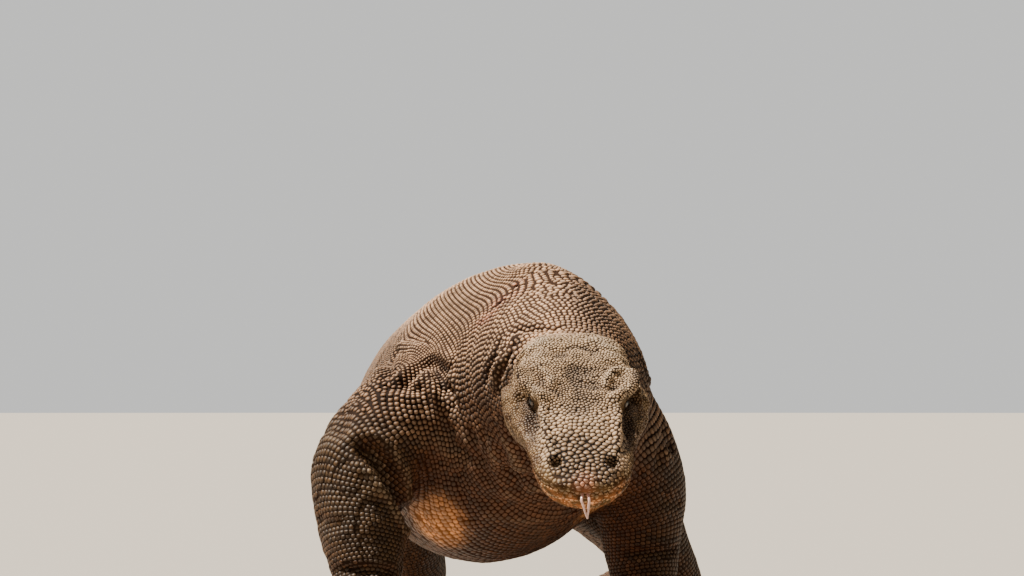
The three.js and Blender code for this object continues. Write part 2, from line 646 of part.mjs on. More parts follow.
/** Every named piece of the animal. */
function allPieces() {
  const flank = bodyLength(0, FLANK_END, GAP);
  const headRoom = wholeHead(2 * GAP).transform(HEAD_PLACE.elements);
  const pieces = headPieces();
  for (const { name, from, to } of BODY_PARTS) {
    pieces.push(piece(name, largest(grounded(bodyLength(from, to).subtract(headRoom))), HIDE));
  }
  for (const [name, limb] of Object.entries(LIMBS)) {
    pieces.push(...limbPieces(name, limb, limb.end === 'hand' ? FORE_FOOT : HIND_FOOT, flank));
  }
  return pieces;
}

/** The whole animal, moved so that its origin is under the middle of its box, at floor level. */
function komodoDragon() {
  const animal = new THREE.Group();
  animal.add(...allPieces());
  const box = new THREE.Box3().setFromObject(animal);
  const middle = box.getCenter(new THREE.Vector3());
  animal.position.set(-middle.x, -middle.y, -box.min.z);
  return animal;
}

export default komodoDragon();
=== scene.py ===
"""A life-size komodo dragon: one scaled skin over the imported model, with its eyes, tongue and claws."""

import logging
import math
from collections.abc import Callable
from dataclasses import dataclass, field, fields, replace
from enum import Enum

import bpy
import numpy as np
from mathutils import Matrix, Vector
from mathutils.bvhtree import BVHTree
from mathutils.kdtree import KDTree


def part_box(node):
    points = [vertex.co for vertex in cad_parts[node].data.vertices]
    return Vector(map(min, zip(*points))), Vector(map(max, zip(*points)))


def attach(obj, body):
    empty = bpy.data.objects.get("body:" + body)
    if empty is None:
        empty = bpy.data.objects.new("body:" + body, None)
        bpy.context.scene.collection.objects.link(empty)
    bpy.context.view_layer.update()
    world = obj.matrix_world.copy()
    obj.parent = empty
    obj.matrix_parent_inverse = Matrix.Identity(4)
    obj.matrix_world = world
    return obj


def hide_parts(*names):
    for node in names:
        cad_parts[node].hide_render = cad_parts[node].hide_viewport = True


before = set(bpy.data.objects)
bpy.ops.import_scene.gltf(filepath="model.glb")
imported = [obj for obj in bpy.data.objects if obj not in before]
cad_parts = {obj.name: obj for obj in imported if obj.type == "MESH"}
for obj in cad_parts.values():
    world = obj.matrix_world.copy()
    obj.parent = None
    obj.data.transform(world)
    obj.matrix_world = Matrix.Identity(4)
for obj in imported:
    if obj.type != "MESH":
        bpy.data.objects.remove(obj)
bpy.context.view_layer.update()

Array = np.ndarray
Triple = tuple[float, float, float]
Piece = bpy.types.Object
Socket = bpy.types.NodeSocket

MM = 0.001
BODY = "root"
log = logging.getLogger("komodo")

AXIAL = ("neck", "chest", "belly", "pelvis", "tail_root", "tail_middle", "tail_end", "tail_tip")
HEAD_PARTS = ("head", "lower_jaw")
SIDES = ("right", "left")
LIMB_PARTS = {"fore": ("upper_arm", "forearm", "hand"), "hind": ("thigh", "shin", "foot")}
LIMB_NODES = tuple(f"{part}_{side}" for parts in LIMB_PARTS.values() for part in parts for side in SIDES)
FLESH = HEAD_PARTS + AXIAL + LIMB_NODES
EYES = ("eye_right", "eye_left")


# ---- places ----


@dataclass
class Rig:
    """Where the animal's parts lie. Places are millimetres in the body's own frame, as the solids are."""

    pitch: float = math.radians(31.0)
    yaw: float = math.radians(3.0)
    roll: float = math.radians(-1.0)
    eye: Triple = (85.0, 39.5, 20.5)
    head_room: float = 130.0
    head_at: Triple = (67.0, -306.0, 314.0)
    spine: tuple[Triple, ...] = (
        (66, -286, 304), (63, -212, 305), (56, -130, 310), (42, -40, 300), (14, 60, 278), (-14, 180, 264),
        (-26, 330, 258), (-16, 480, 256), (6, 625, 250), (36, 750, 236), (88, 920, 194), (160, 1140, 122),
        (196, 1360, 58), (186, 1560, 37), (150, 1760, 22), (102, 1945, 6),
    )
    limbs: dict[str, tuple[Triple, ...]] = field(default_factory=lambda: {
        "fore_right": ((-58, 34, 280), (-116, -8, 250), (-158, -44, 205), (-152, -74, 134), (-146, -98, 74),
                       (-147, -122, 30)),
        "fore_left": ((62, 40, 276), (108, 36, 246), (143, 58, 192), (147, 66, 128), (149, 58, 74),
                      (150, 40, 30)),
        "hind_right": ((-48, 622, 252), (-104, 634, 214), (-146, 652, 164), (-122, 694, 112), (-106, 736, 74),
                       (-110, 764, 34)),
        "hind_left": ((56, 608, 246), (108, 562, 203), (152, 514, 156), (178, 526, 110), (202, 556, 72),
                      (212, 574, 34)),
    })

    def __post_init__(self) -> None:
        """Works out the head's axes and both origins from where the eyes are in the frame."""
        sp, cp, sy, cy = math.sin(self.pitch), math.cos(self.pitch), math.sin(self.yaw), math.cos(self.yaw)
        forward = np.array((sy * cp, -cy * cp, -sp))
        level = np.array((cy, sy, 0.0))
        left = level * math.cos(self.roll) + np.cross(forward, level) * math.sin(self.roll)
        self.axes = np.array((forward, left, np.cross(forward, left)))
        eyes = [sum(np.array(corner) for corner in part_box(name)) / 2 for name in EYES]
        middle = (eyes[0] + eyes[1]) / 2
        self.head_origin = middle - MM * (self.eye[0] * self.axes[0] + self.eye[2] * self.axes[2])
        self.origin = self.head_origin - MM * np.array(self.head_at)

    def place(self, points: Array) -> Array:
        """Points of the body's frame, in millimetres, as places in metres."""
        return self.origin + MM * np.asarray(points, float)

    def body(self, places: Array) -> Array:
        """Places in metres as millimetres of the body's frame."""
        return (places - self.origin) / MM

    def head(self, places: Array) -> Array:
        """Places in metres as the head's u forward, v left and w up, in millimetres."""
        return (places - self.head_origin) @ self.axes.T / MM

    def from_head(self, points: Array) -> Array:
        """Points of the head's frame, in millimetres, as places in metres."""
        return self.head_origin + MM * np.asarray(points, float) @ self.axes

    def ahead(self, places: Array, u: float) -> Array:
        """Which places lie past a length of the head, leaving out the arm that steps out beside it."""
        head = self.head(places)
        return (head[:, 0] > u) & (np.abs(head[:, 1]) < self.head_room)

    def heading(self, points: Array, path: Array | tuple[Triple, ...]) -> tuple[Array, Array, Array]:
        """Nearest place on a path for each point.

        Args:
            points: Rows of points in millimetres.
            path: The path's points.

        Returns:
            The length along the path, the nearest points and the path's directions there.
        """
        path = np.asarray(path, float)
        steps = np.diff(path, axis=0)
        lengths = np.linalg.norm(steps, axis=1)
        starts = np.concatenate(((0.0,), np.cumsum(lengths)))
        best = np.full(len(points), np.inf)
        along = np.zeros(len(points))
        nearest = np.zeros_like(points)
        direction = np.zeros_like(points)
        for k, (step, length) in enumerate(zip(steps, lengths)):
            onward = step / length
            t = np.clip((points - path[k]) @ onward, 0.0, length)
            there = path[k] + t[:, None] * onward
            gap = ((points - there) ** 2).sum(1)
            closer = gap < best
            best[closer] = gap[closer]
            along[closer] = starts[k] + t[closer]
            nearest[closer] = there[closer]
            direction[closer] = onward
        return along, nearest, direction

    def on_limbs(self, points: Array) -> Array:
        """How far from the trunk's hide and into the limbs' each point is, from 0 to 1.

        Args:
            points: Points of the body's frame.

        Returns:
            One share for each.
        """
        share = np.zeros(len(points))
        for path in self.limbs.values():
            _, there, _ = self.heading(points, path[2:])
            share = np.maximum(share, ramp(95, 55, np.linalg.norm(points - there, axis=1)))
        return share


# ---- number helpers ----


def ramp(low: float, high: float, x: Array) -> Array:
    """0 below low, 1 above high and an S curve between; low may be the larger one."""
    t = np.clip((np.asarray(x, float) - low) / (high - low), 0.0, 1.0)
    return t * t * (3.0 - 2.0 * t)


def hashed(cells: Array, seed: int) -> Array:
    """A number from 0 to 1 for each row of whole numbers, always the same.

    Args:
        cells: The rows.
        seed: Picks one of many such sets of numbers.

    Returns:
        One number for each row.
    """
    mixed = cells.astype(np.int64) @ np.array((73856093, 19349663, 83492791), np.int64) + seed * 15485863
    mixed = (mixed ^ (mixed >> 13)) * 1274126177
    mixed ^= mixed >> 16
    return (mixed & 0xFFFFFF) / float(0xFFFFFF)


def noise(points: Array, size: float, seed: int = 0, octaves: int = 2) -> Array:
    """Smooth noise from -1 to 1.

    Args:
        points: Rows of points.
        size: Size of the largest blobs, in the points' units.
        seed: Which noise it is.
        octaves: How many finer layers there are, each half as large and half as strong.

    Returns:
        One value for each point.
    """
    total = np.zeros(len(points))
    weight = 0.0
    for octave in range(octaves):
        scaled = points / size * 2.0**octave
        cell = np.floor(scaled)
        part = scaled - cell
        part = part * part * (3.0 - 2.0 * part)
        value = np.zeros(len(points))
        for corner in np.ndindex(2, 2, 2):
            near = np.prod(np.where(np.array(corner) == 1, part, 1.0 - part), axis=1)
            value += near * hashed(cell + np.array(corner), seed + 7 * octave)
        total += (2.0 * value - 1.0) * 0.5**octave
        weight += 0.5**octave
    return total / weight


def creased(points: Array, size: float, seed: int) -> Array:
    """Thin winding creases: 1 along them and 0 between, in blobs of a size."""
    return np.exp(-((noise(points, size, seed) / 0.13) ** 2))


def unit(rows: Array) -> Array:
    """Rows of directions at length 1."""
    return rows / np.linalg.norm(rows, axis=1, keepdims=True).clip(1e-9)


def laid(rows: Array, normals: Array) -> Array:
    """Directions laid flat on a skin with some outward directions."""
    return unit(rows - (rows * normals).sum(1)[:, None] * normals)


def circle(sides: int) -> Array:
    """Even turns round a circle, in radians."""
    return np.linspace(0.0, 2 * math.pi, sides, endpoint=False)


def tree_of(places: Array) -> KDTree:
    """Finds the nearest of some places.

    Args:
        places: Rows of places.

    Returns:
        A tree that answers with the place's number.
    """
    tree = KDTree(len(places))
    for number, place in enumerate(places.tolist()):
        tree.insert(place, number)
    tree.balance()
    return tree


# ---- mesh helpers ----


def solids(names: tuple[str, ...]) -> tuple[list[tuple[float, ...]], list[tuple[int, ...]], list[int]]:
    """Several of the frame's solids together.

    Args:
        names: The solids' nodes.

    Returns:
        Their places in metres, their faces and, for each face, the number of its node.
    """
    points, faces, owners = [], [], []
    for number, name in enumerate(names):
        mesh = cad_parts[name].data
        count = len(points)
        points += [tuple(v.co) for v in mesh.vertices]
        faces += [tuple(count + v for v in face.vertices) for face in mesh.polygons]
        owners += [number] * len(mesh.polygons)
    return points, faces, owners


def merged(parts: list[tuple[Array, Array]]) -> tuple[Array, Array]:
    """Several meshes' points and faces as one mesh's, without welding them.

    Args:
        parts: The points and the faces of each.

    Returns:
        All the points and all the faces.
    """
    counts = np.cumsum([0] + [len(points) for points, _ in parts])
    faces = [own + count for (_, own), count in zip(parts, counts)]
    return np.concatenate([points for points, _ in parts]), np.concatenate(faces)


def ring_faces(rings: int, sides: int) -> Array:
    """Four-sided faces between closed rings of points that follow one another.

    Args:
        rings: How many rings there are.
        sides: How many points each has.

    Returns:
        Rows of four point numbers.
    """
    k = np.arange(sides)
    low = (np.arange(rings - 1) * sides)[:, None]
    onward = (k + 1) % sides
    return np.stack((low + k, low + sides + k, low + sides + onward, low + onward), 2).reshape(-1, 4)


def vertex_normals(points: Array, quads: Array) -> Array:
    """The outward direction at each point of a skin of four-sided faces.

    Args:
        points: The skin's points.
        quads: Its faces, as rows of point numbers.

    Returns:
        One direction for each point.
    """
    p = points[quads]
    face = np.cross(p[:, 2] - p[:, 0], p[:, 3] - p[:, 1])
    total = np.zeros_like(points)
    for k in range(4):
        for axis in range(3):
            total[:, axis] += np.bincount(quads[:, k], face[:, axis], len(points))
    return unit(total)


def placed(name: str, data: bpy.types.ID) -> Piece:
    """An object of the scene for a mesh, a camera or a lamp.

    Args:
        name: The object's name.
        data: What it shows.

    Returns:
        The linked object.
    """
    made = bpy.data.objects.new(name, data)
    bpy.context.scene.collection.objects.link(made)
    return made


def mesh_object(name: str, points: Array, faces: Array) -> Piece:
    """A smooth-shaded object from arrays, with nothing under the floor.

    Args:
        name: The piece's name.
        points: Its places in metres.
        faces: Rows of vertex numbers, all with as many corners.

    Returns:
        The linked object.
    """
    points = np.column_stack((points[:, :2], points[:, 2].clip(0.0)))
    mesh = bpy.data.meshes.new(name)
    mesh.vertices.add(len(points))
    mesh.vertices.foreach_set("co", np.ascontiguousarray(points, np.float32).ravel())
    mesh.loops.add(faces.size)
    mesh.loops.foreach_set("vertex_index", faces.astype(np.int32).ravel())
    mesh.polygons.add(len(faces))
    mesh.polygons.foreach_set("loop_start", np.arange(0, faces.size, faces.shape[1], dtype=np.int32))
    mesh.polygons.foreach_set("use_smooth", np.ones(len(faces), bool))
    mesh.update(calc_edges=True)
    mesh.validate()
    return placed(name, mesh)


def read(points: object, name: str) -> Array:
    """A property of a mesh's points, as rows of three.

    Args:
        points: The points.
        name: The property's name.

    Returns:
        One row for each point.
    """
    values = np.empty(len(points) * 3, np.float32)
    points.foreach_get(name, values)
    return values.reshape(-1, 3).astype(float)


def note(mesh: bpy.types.Mesh, values: dict[str, Array]) -> None:
    """Stores values, by name, as attributes of a mesh's points."""
    for name, numbers in values.items():
        mesh.attributes.new(name, "FLOAT", "POINT").data.foreach_set("value", numbers.astype(np.float32))


# ---- the skin's surface ----


class Surface:
    """A closed skin of four-sided faces, held as arrays."""

    def __init__(self, mesh: bpy.types.Mesh) -> None:
        """Reads a remeshed mesh, whose faces all have four corners.

        Args:
            mesh: The mesh, which is only read.
        """
        self.points = np.empty(len(mesh.vertices) * 3)
        mesh.vertices.foreach_get("co", self.points)
        self.points = self.points.reshape(-1, 3)
        self.quads = np.empty(len(mesh.loops), np.int64)
        mesh.loops.foreach_get("vertex_index", self.quads)
        self.quads = self.quads.reshape(-1, 4)
        self.find_edges()

    def find_edges(self) -> None:
        """Lists each edge once and counts the edges at each vertex."""
        pairs = np.concatenate([self.quads[:, (k, (k + 1) % 4)] for k in range(4)])
        pairs.sort(axis=1)
        self.edges = np.unique(pairs, axis=0)
        self.degree = np.bincount(self.edges.ravel(), minlength=len(self.points)).clip(1)

    def neighbours(self, values: Array) -> Array:
        """The mean of a value over each vertex's neighbours.

        Args:
            values: A number or a row for each vertex.

        Returns:
            The means, in the same shape.
        """
        a, b = self.edges.T
        n = len(self.points)
        columns = values.reshape(n, -1)
        mean = np.empty_like(columns)
        for k in range(columns.shape[1]):
            column = columns[:, k]
            mean[:, k] = (np.bincount(a, column[b], n) + np.bincount(b, column[a], n)) / self.degree
        return mean.reshape(values.shape)

    def smooth(self, passes: Array) -> None:
        """Smooths facets away and gives the broad shape back what the smoothing took.

        Args:
            passes: How many times each vertex is moved to the mean of its neighbours.
        """

        def blurred(values: Array) -> Array:
            """The values after all the passes.

            Args:
                values: A row for each vertex.

            Returns:
                The smoothed rows.
            """
            for k in range(int(math.ceil(passes.max()))):
                share = np.clip(passes - k, 0.0, 1.0)[:, None] * 0.9
                values = values + share * (self.neighbours(values) - values)
            return values

        soft = blurred(self.points)
        self.points = soft + blurred(self.points - soft)

    def normals(self) -> Array:
        """The outward direction at each vertex."""
        return vertex_normals(self.points, self.quads)

    def keep(self, wanted: Array) -> None:
        """Keeps the faces whose corners are all wanted, and the vertices that they use.

        Args:
            wanted: True at each vertex that is wanted.
        """
        self.quads = self.quads[wanted[self.quads].all(1)]
        used = np.unique(self.quads)
        place = np.full(len(self.points), -1)
        place[used] = np.arange(len(used))
        self.quads = place[self.quads]
        self.points = self.points[used]
        self.find_edges()


def remeshed(names: tuple[str, ...], cell: float) -> Surface:
    """One closed skin round several of the frame's solids, with faces of a size in metres."""
    points, faces, _ = solids(names)
    return wrapped(points, faces, cell)


def wrapped(points: list[tuple[float, ...]], faces: list[tuple[int, ...]], cell: float) -> Surface:
    """One closed skin round closed shapes that may overlap.

    Args:
        points: The shapes' places in metres.
        faces: Their faces.
        cell: Size of the skin's faces, in metres.

    Returns:
        The skin.
    """
    mesh = bpy.data.meshes.new("joined")
    mesh.from_pydata(points, [], faces)
    body = placed("joined", mesh)
    remesh = body.modifiers.new("remesh", "REMESH")
    remesh.mode = "VOXEL"
    remesh.voxel_size = cell
    made = bpy.data.meshes.new_from_object(body.evaluated_get(bpy.context.evaluated_depsgraph_get()))
    surface = Surface(made)
    bpy.data.objects.remove(body)
    bpy.data.meshes.remove(mesh)
    bpy.data.meshes.remove(made)
    return surface


# ---- creases and swellings ----


@dataclass(frozen=True)
class Fold:
    """A crease along a line of places on the hide, in millimetres; a negative depth makes a ridge."""

    path: tuple[Triple, ...]
    width: float
    depth: float
    swell: float = 0.45

    def laid(self, onto: Callable[[Array], Array], step: float = 6.0) -> "Fold":
        """The same fold with its path in short steps that lie on the hide.

        Args:
            onto: Moves points of the fold's frame to the nearest place on the hide.
            step: The longest step, in millimetres.

        Returns:
            The fold to sculpt with.
        """
        path = np.array(self.path, float)
        lengths = np.linalg.norm(np.diff(path, axis=0), axis=1)
        at = np.concatenate(((0.0,), np.cumsum(lengths)))
        fine = np.linspace(0.0, at[-1], max(3, math.ceil(at[-1] / step) + 1))
        dense = onto(np.column_stack([np.interp(fine, at, path[:, k]) for k in range(3)]))
        return replace(self, path=tuple(map(tuple, dense.tolist())))

    def offset(self, points: Array, rig: Rig) -> Array:
        """How far the fold moves the hide outwards.

        Args:
            points: The hide's points, in the fold's own frame.
            rig: Finds the nearest places on the fold.

        Returns:
            One distance in millimetres for each point.
        """
        path = np.array(self.path, float)
        reach = 4.0 * self.width
        offset = np.zeros(len(points))
        near = np.all((points > path.min(0) - reach) & (points < path.max(0) + reach), axis=1)
        if near.any():
            along, there, _ = rig.heading(points[near], path)
            away = np.linalg.norm(points[near] - there, axis=1) / self.width
            part = along / np.linalg.norm(np.diff(path, axis=0), axis=1).sum()
            ends = ramp(0.0, 0.2, part) * ramp(1.0, 0.8, part)
            beside = self.swell * np.exp(-((away - 1.7) ** 2) / 0.6)
            offset[near] = self.depth * ends * (beside - np.exp(-(away**2)))
        return offset


@dataclass(frozen=True)
class Swelling:
    """A soft rise on both sides of the head, or a hollow where its height is negative."""

    at: Triple
    size: Triple
    height: float

    def offset(self, points: Array) -> Array:
        """How far it moves the head's points outwards, in millimetres.

        Args:
            points: Points of the head's frame.

        Returns:
            One distance for each point.
        """
        mirrored = np.column_stack((points[:, 0], np.abs(points[:, 1]), points[:, 2]))
        away = (mirrored - np.array(self.at)) / np.array(self.size)
        return self.height * np.exp(-(away**2).sum(1))


SHOULDER_FOLDS = (
    Fold(((-90, -36, 331), (-100, -50, 317), (-113, -60, 304)), 7.0, 7.0),
    Fold(((-92, -28, 336), (-78, -47, 326), (-60, -73, 314)), 8.0, 9.5, 0.35),
    Fold(((-82, -52, 318), (-70, -62, 306), (-58, -81, 297), (-55, -87, 276)), 7.0, 9.0),
    Fold(((-86, -50, 321), (-80, -60, 308), (-77, -67, 296), (-70, -71, 270)), 5.0, -8.0, 0.2),
    Fold(((-122, 75, 344), (-104, 16, 346), (-90, -24, 340)), 7.0, -5.0, 0.2),
    Fold(((-124, 84, 346), (-127, 20, 330), (-127, -36, 318), (-128, -57, 302)), 8.0, 6.5),
    Fold(((-140, -50, 302), (-108, -62, 303), (-86, -66, 300)), 7.0, 5.0, 0.5),
    Fold(((-70, -74, 262), (-58, -78, 240), (-38, -92, 226)), 9.0, 5.0),
    Fold(((-168, -88, 247), (-150, -93, 239), (-136, -94, 226), (-126, -91, 212), (-118, -85, 196),
          (-110, -74, 170), (-106, -20, 158)), 10.0, 20.0, 0.3),
    Fold(((-150, -30, 262), (-165, -62, 236), (-158, -90, 222)), 9.0, 4.0),
    Fold(((168, 0, 262), (176, 6, 244), (182, 22, 236)), 8.0, 5.0),
    Fold(((150, 10, 250), (160, -2, 236), (160, 0, 214)), 7.0, 3.5),
    Fold(((96, -40, 320), (104, -62, 300), (100, -80, 270), (92, -88, 244)), 9.0, 6.0),
)
NECK_FOLDS = (
    Fold(((-20, -93, 386), (-7, -94, 400), (3, -86, 409), (14, -72, 418)), 3.6, 3.4),
    Fold(((0, -183, 360), (17, -208, 363), (38, -234, 363), (66, -242, 363)), 5.0, 4.0),
    Fold(((22, -210, 360), (8, -217, 349), (4, -225, 332), (-5, -208, 315), (-9, -198, 290)), 6.0, 11.0),
    Fold(((-2, -187, 352), (-5, -203, 332), (-12, -191, 314), (-16, -176, 296)), 5.0, -5.0, 0.2),
    Fold(((-7, -168, 358), (-12, -179, 340), (-19, -167, 320), (-23, -158, 300)), 6.0, 5.0),
    Fold(((132, -131, 350), (140, -112, 332), (146, -89, 311), (151, -30, 290)), 7.0, 4.5),
    Fold(((-6, -186, 280), (6, -162, 248), (18, -150, 230), (24, -126, 214)), 7.0, 4.5),
    Fold(((-9, -141, 250), (1, -116, 216), (20, -93, 184)), 8.0, 4.0),
    Fold(((-40, -110, 270), (-31, -99, 232), (-16, -84, 194)), 8.0, 4.0),
    Fold(((146, -70, 320), (146, -70, 290), (134, -78, 250)), 8.0, 4.0),
    Fold(((-24, -110, 214), (10, -128, 196), (60, -130, 192), (104, -120, 208)), 9.0, 4.0),
    Fold(((-40, -70, 190), (0, -80, 170), (50, -84, 166), (92, -76, 180)), 10.0, 3.0),
)
ARM_FOLDS = (
    Fold(((-190, -84, 108), (-183, -102, 108), (-156, -120, 111), (-129, -115, 109), (-118, -92, 108)),
         5.0, 3.5),
    Fold(((-204, -70, 160), (-196, -98, 156), (-170, -118, 158)), 7.0, 2.5),
    Fold(((196, 50, 126), (190, 34, 124), (160, 22, 124), (126, 36, 126)), 5.0, 3.5),
    Fold(((196, 40, 176), (190, 18, 178), (166, 4, 180)), 7.0, 2.5),
)
FLANK_FOLDS = tuple(
    Fold(tuple((side * (150 - 0.02 * abs(y - 330)) - 20, y + 18 * step, 300 - 52 * step)
               for step in range(5)), 11.0, 3.0)
    for side in (-1, 1)
    for y in (205, 262, 330, 402, 470, 530)
)
TAIL_FOLDS = tuple(
    Fold(tuple((36 + side * 74 + 0.2 * (y - 750), y + 8 * step, 286 - 36 * step)
               for step in range(4)), 9.0, 2.5)
    for side in (-1, 1)
    for y in (715, 770)
)
BODY_FOLDS = SHOULDER_FOLDS + NECK_FOLDS + ARM_FOLDS + FLANK_FOLDS + TAIL_FOLDS

HEAD_FOLDS = tuple(
    Fold(tuple((u, side * v, w) for u, v, w in path), width, depth, swell)
    for side in (-1, 1)
    for path, width, depth, swell in (
        (((36, 52, 32), (52, 54, 30), (66, 52, 29), (80, 48, 31), (92, 38, 31), (94, 24, 33)),
         6.4, -10.0, 0.15),
        (((40, 49, 33), (46, 42, 36), (56, 33, 38), (70, 27, 37), (84, 27, 35)), 4.4, -4.6, 0.1),
        (((36, 57, 26), (52, 58, 24), (64, 57, 20), (77, 60, 12)), 5.0, 9.0, 0.35),
        (((66, 56, 24), (74, 55, 28), (88, 51, 28), (98, 46, 24)), 3.4, 2.6, 0.2),
        (((96, 50, 15), (112, 47, 13), (134, 43, 12)), 7.5, 6.5, 0.2),
        (((70, 60, 10), (84, 59, 7), (98, 55, 10)), 3.5, 2.2, 0.5),
        (((100, 56, 10), (122, 50, 9), (146, 44, 8), (166, 38, 8)), 5.0, 2.6, 0.3),
        (((92, 36, 31), (115, 37, 23), (148, 35, 18), (178, 31, 15)), 4.2, -4.4, 0.3),
        (((58, 68, -14), (48, 71, -22), (34, 70, -34), (16, 62, -46)), 5.0, 5.0, 0.4),
        (((62, 70, 0), (52, 73, 4), (40, 73, 2), (24, 70, -4)), 6.0, -4.0, 0.2),
        (((26, 62, 24), (20, 66, 10), (22, 68, -8)), 5.0, 5.5, 0.4),
        (((4, 52, 34), (-4, 58, 18), (-6, 62, 0), (-4, 62, -22)), 5.0, 6.0, 0.4),
        (((198, 12, 2), (200, 20, 4), (196, 30, 6)), 3.0, 1.4, 0.5),
    )
)
HEAD_SWELLINGS = (
    Swelling((187, 28, 13), (5.4, 4.4, 3.0), -6.5),
    Swelling((181, 30, 17), (9.0, 6.0, 5.0), 2.2),
    Swelling((196, 25, 12), (5.0, 5.0, 5.0), 1.0),
    Swelling((12, 63, 7), (5.0, 7.0, 7.0), -4.5),
    Swelling((84, 54, 8), (10.0, 8.0, 6.0), 1.6),
    Swelling((40, 66, -4), (20.0, 14.0, 14.0), 2.5),
    Swelling((8, 34, 40), (26.0, 16.0, 14.0), 2.6),
    Swelling((62, 0, 38), (30.0, 15.0, 14.0), -4.0),
    Swelling((60, 45, 34), (11.0, 5.5, 7.0), 3.2),
    Swelling((112, 0, 31), (18.0, 18.0, 12.0), -2.4),
)


# ---- the hide ----


@dataclass(frozen=True)
class Eyelids:
    """The shape of the lids' opening on an eyeball, in millimetres and radians."""

    ball: float = 10.5
    forward: float = 0.30
    upward: float = 0.22
    half_length: float = 6.6
    upper: float = 2.4
    lower: float = 2.0
    sides: int = 40
    # Crowns of the lid rings from the opening outwards: the innermost take the dark gap colour, painted shade
    # at the opening.
    pale: tuple[float, ...] = (0.04, 0.06, 0.20, 0.60, 0.62, 0.50, 0.30, 0.10)
    rings: tuple[tuple[float, float], ...] = (
        (-0.06, 0.1), (-0.01, 0.75), (0.07, 1.35), (0.18, 1.5),
        (0.34, 1.15), (0.55, 0.8), (0.85, -0.2), (1.15, -2.5),
    )

    def axes(self, side: float) -> Array:
        """The directions along the opening, up it and out of it, in the head's frame.

        Args:
            side: 1 on the head's left and -1 on its right.

        Returns:
            Three rows: along, up and out.
        """
        out = np.array((self.forward, side, self.upward))
        out /= np.linalg.norm(out)
        along = np.cross(np.cross(out, (1.0, 0.0, -0.12)), out)
        along /= np.linalg.norm(along)
        up = np.cross(out, along)
        return np.array((along, up * math.copysign(1.0, up[2]), out))

    def edge(self, turn: Array) -> Array:
        """The opening's half angle at each turn round the eye.

        Args:
            turn: The turns, in radians.

        Returns:
            One angle for each turn.
        """
        height = np.where(np.sin(turn) > 0, self.upper, self.lower)
        x = self.half_length * np.cos(turn)
        y = height * np.sin(turn) * np.abs(np.sin(turn)) ** 0.35
        return np.arcsin(np.clip(np.hypot(x, y) / self.ball, 0.0, 0.98))

    def polar(self, points: Array, side: float, centre: Array) -> tuple[Array, ...]:
        """Distance from the eye's centre, angle off its axis and turn round it.

        Args:
            points: Points of the head's frame.
            side: 1 on the head's left and -1 on its right.
            centre: The eyeball's centre.

        Returns:
            The distances, the angles off the axis and the turns.
        """
        local = (points - centre) @ self.axes(side).T
        away = np.linalg.norm(local, axis=1).clip(1e-6)
        return away, np.arccos(np.clip(local[:, 2] / away, -1, 1)), np.arctan2(local[:, 1], local[:, 0])

    def rings_of(self, side: float, centre: Array) -> tuple[Array, Array]:
        """The rolled lids as a ring of four-sided faces.

        Args:
            side: 1 on the head's left and -1 on its right.
            centre: The eyeball's centre in the head's frame.

        Returns:
            The points and the faces.
        """
        turn = circle(self.sides)
        rows = []
        for spread, lift in self.rings:
            off = self.edge(turn) + spread
            local = np.column_stack((np.sin(off) * np.cos(turn), np.sin(off) * np.sin(turn), np.cos(off)))
            rows.append(centre + (self.ball + lift) * local @ self.axes(side))
        faces = ring_faces(len(rows), self.sides)
        return np.concatenate(rows), faces if side > 0 else faces[:, ::-1]


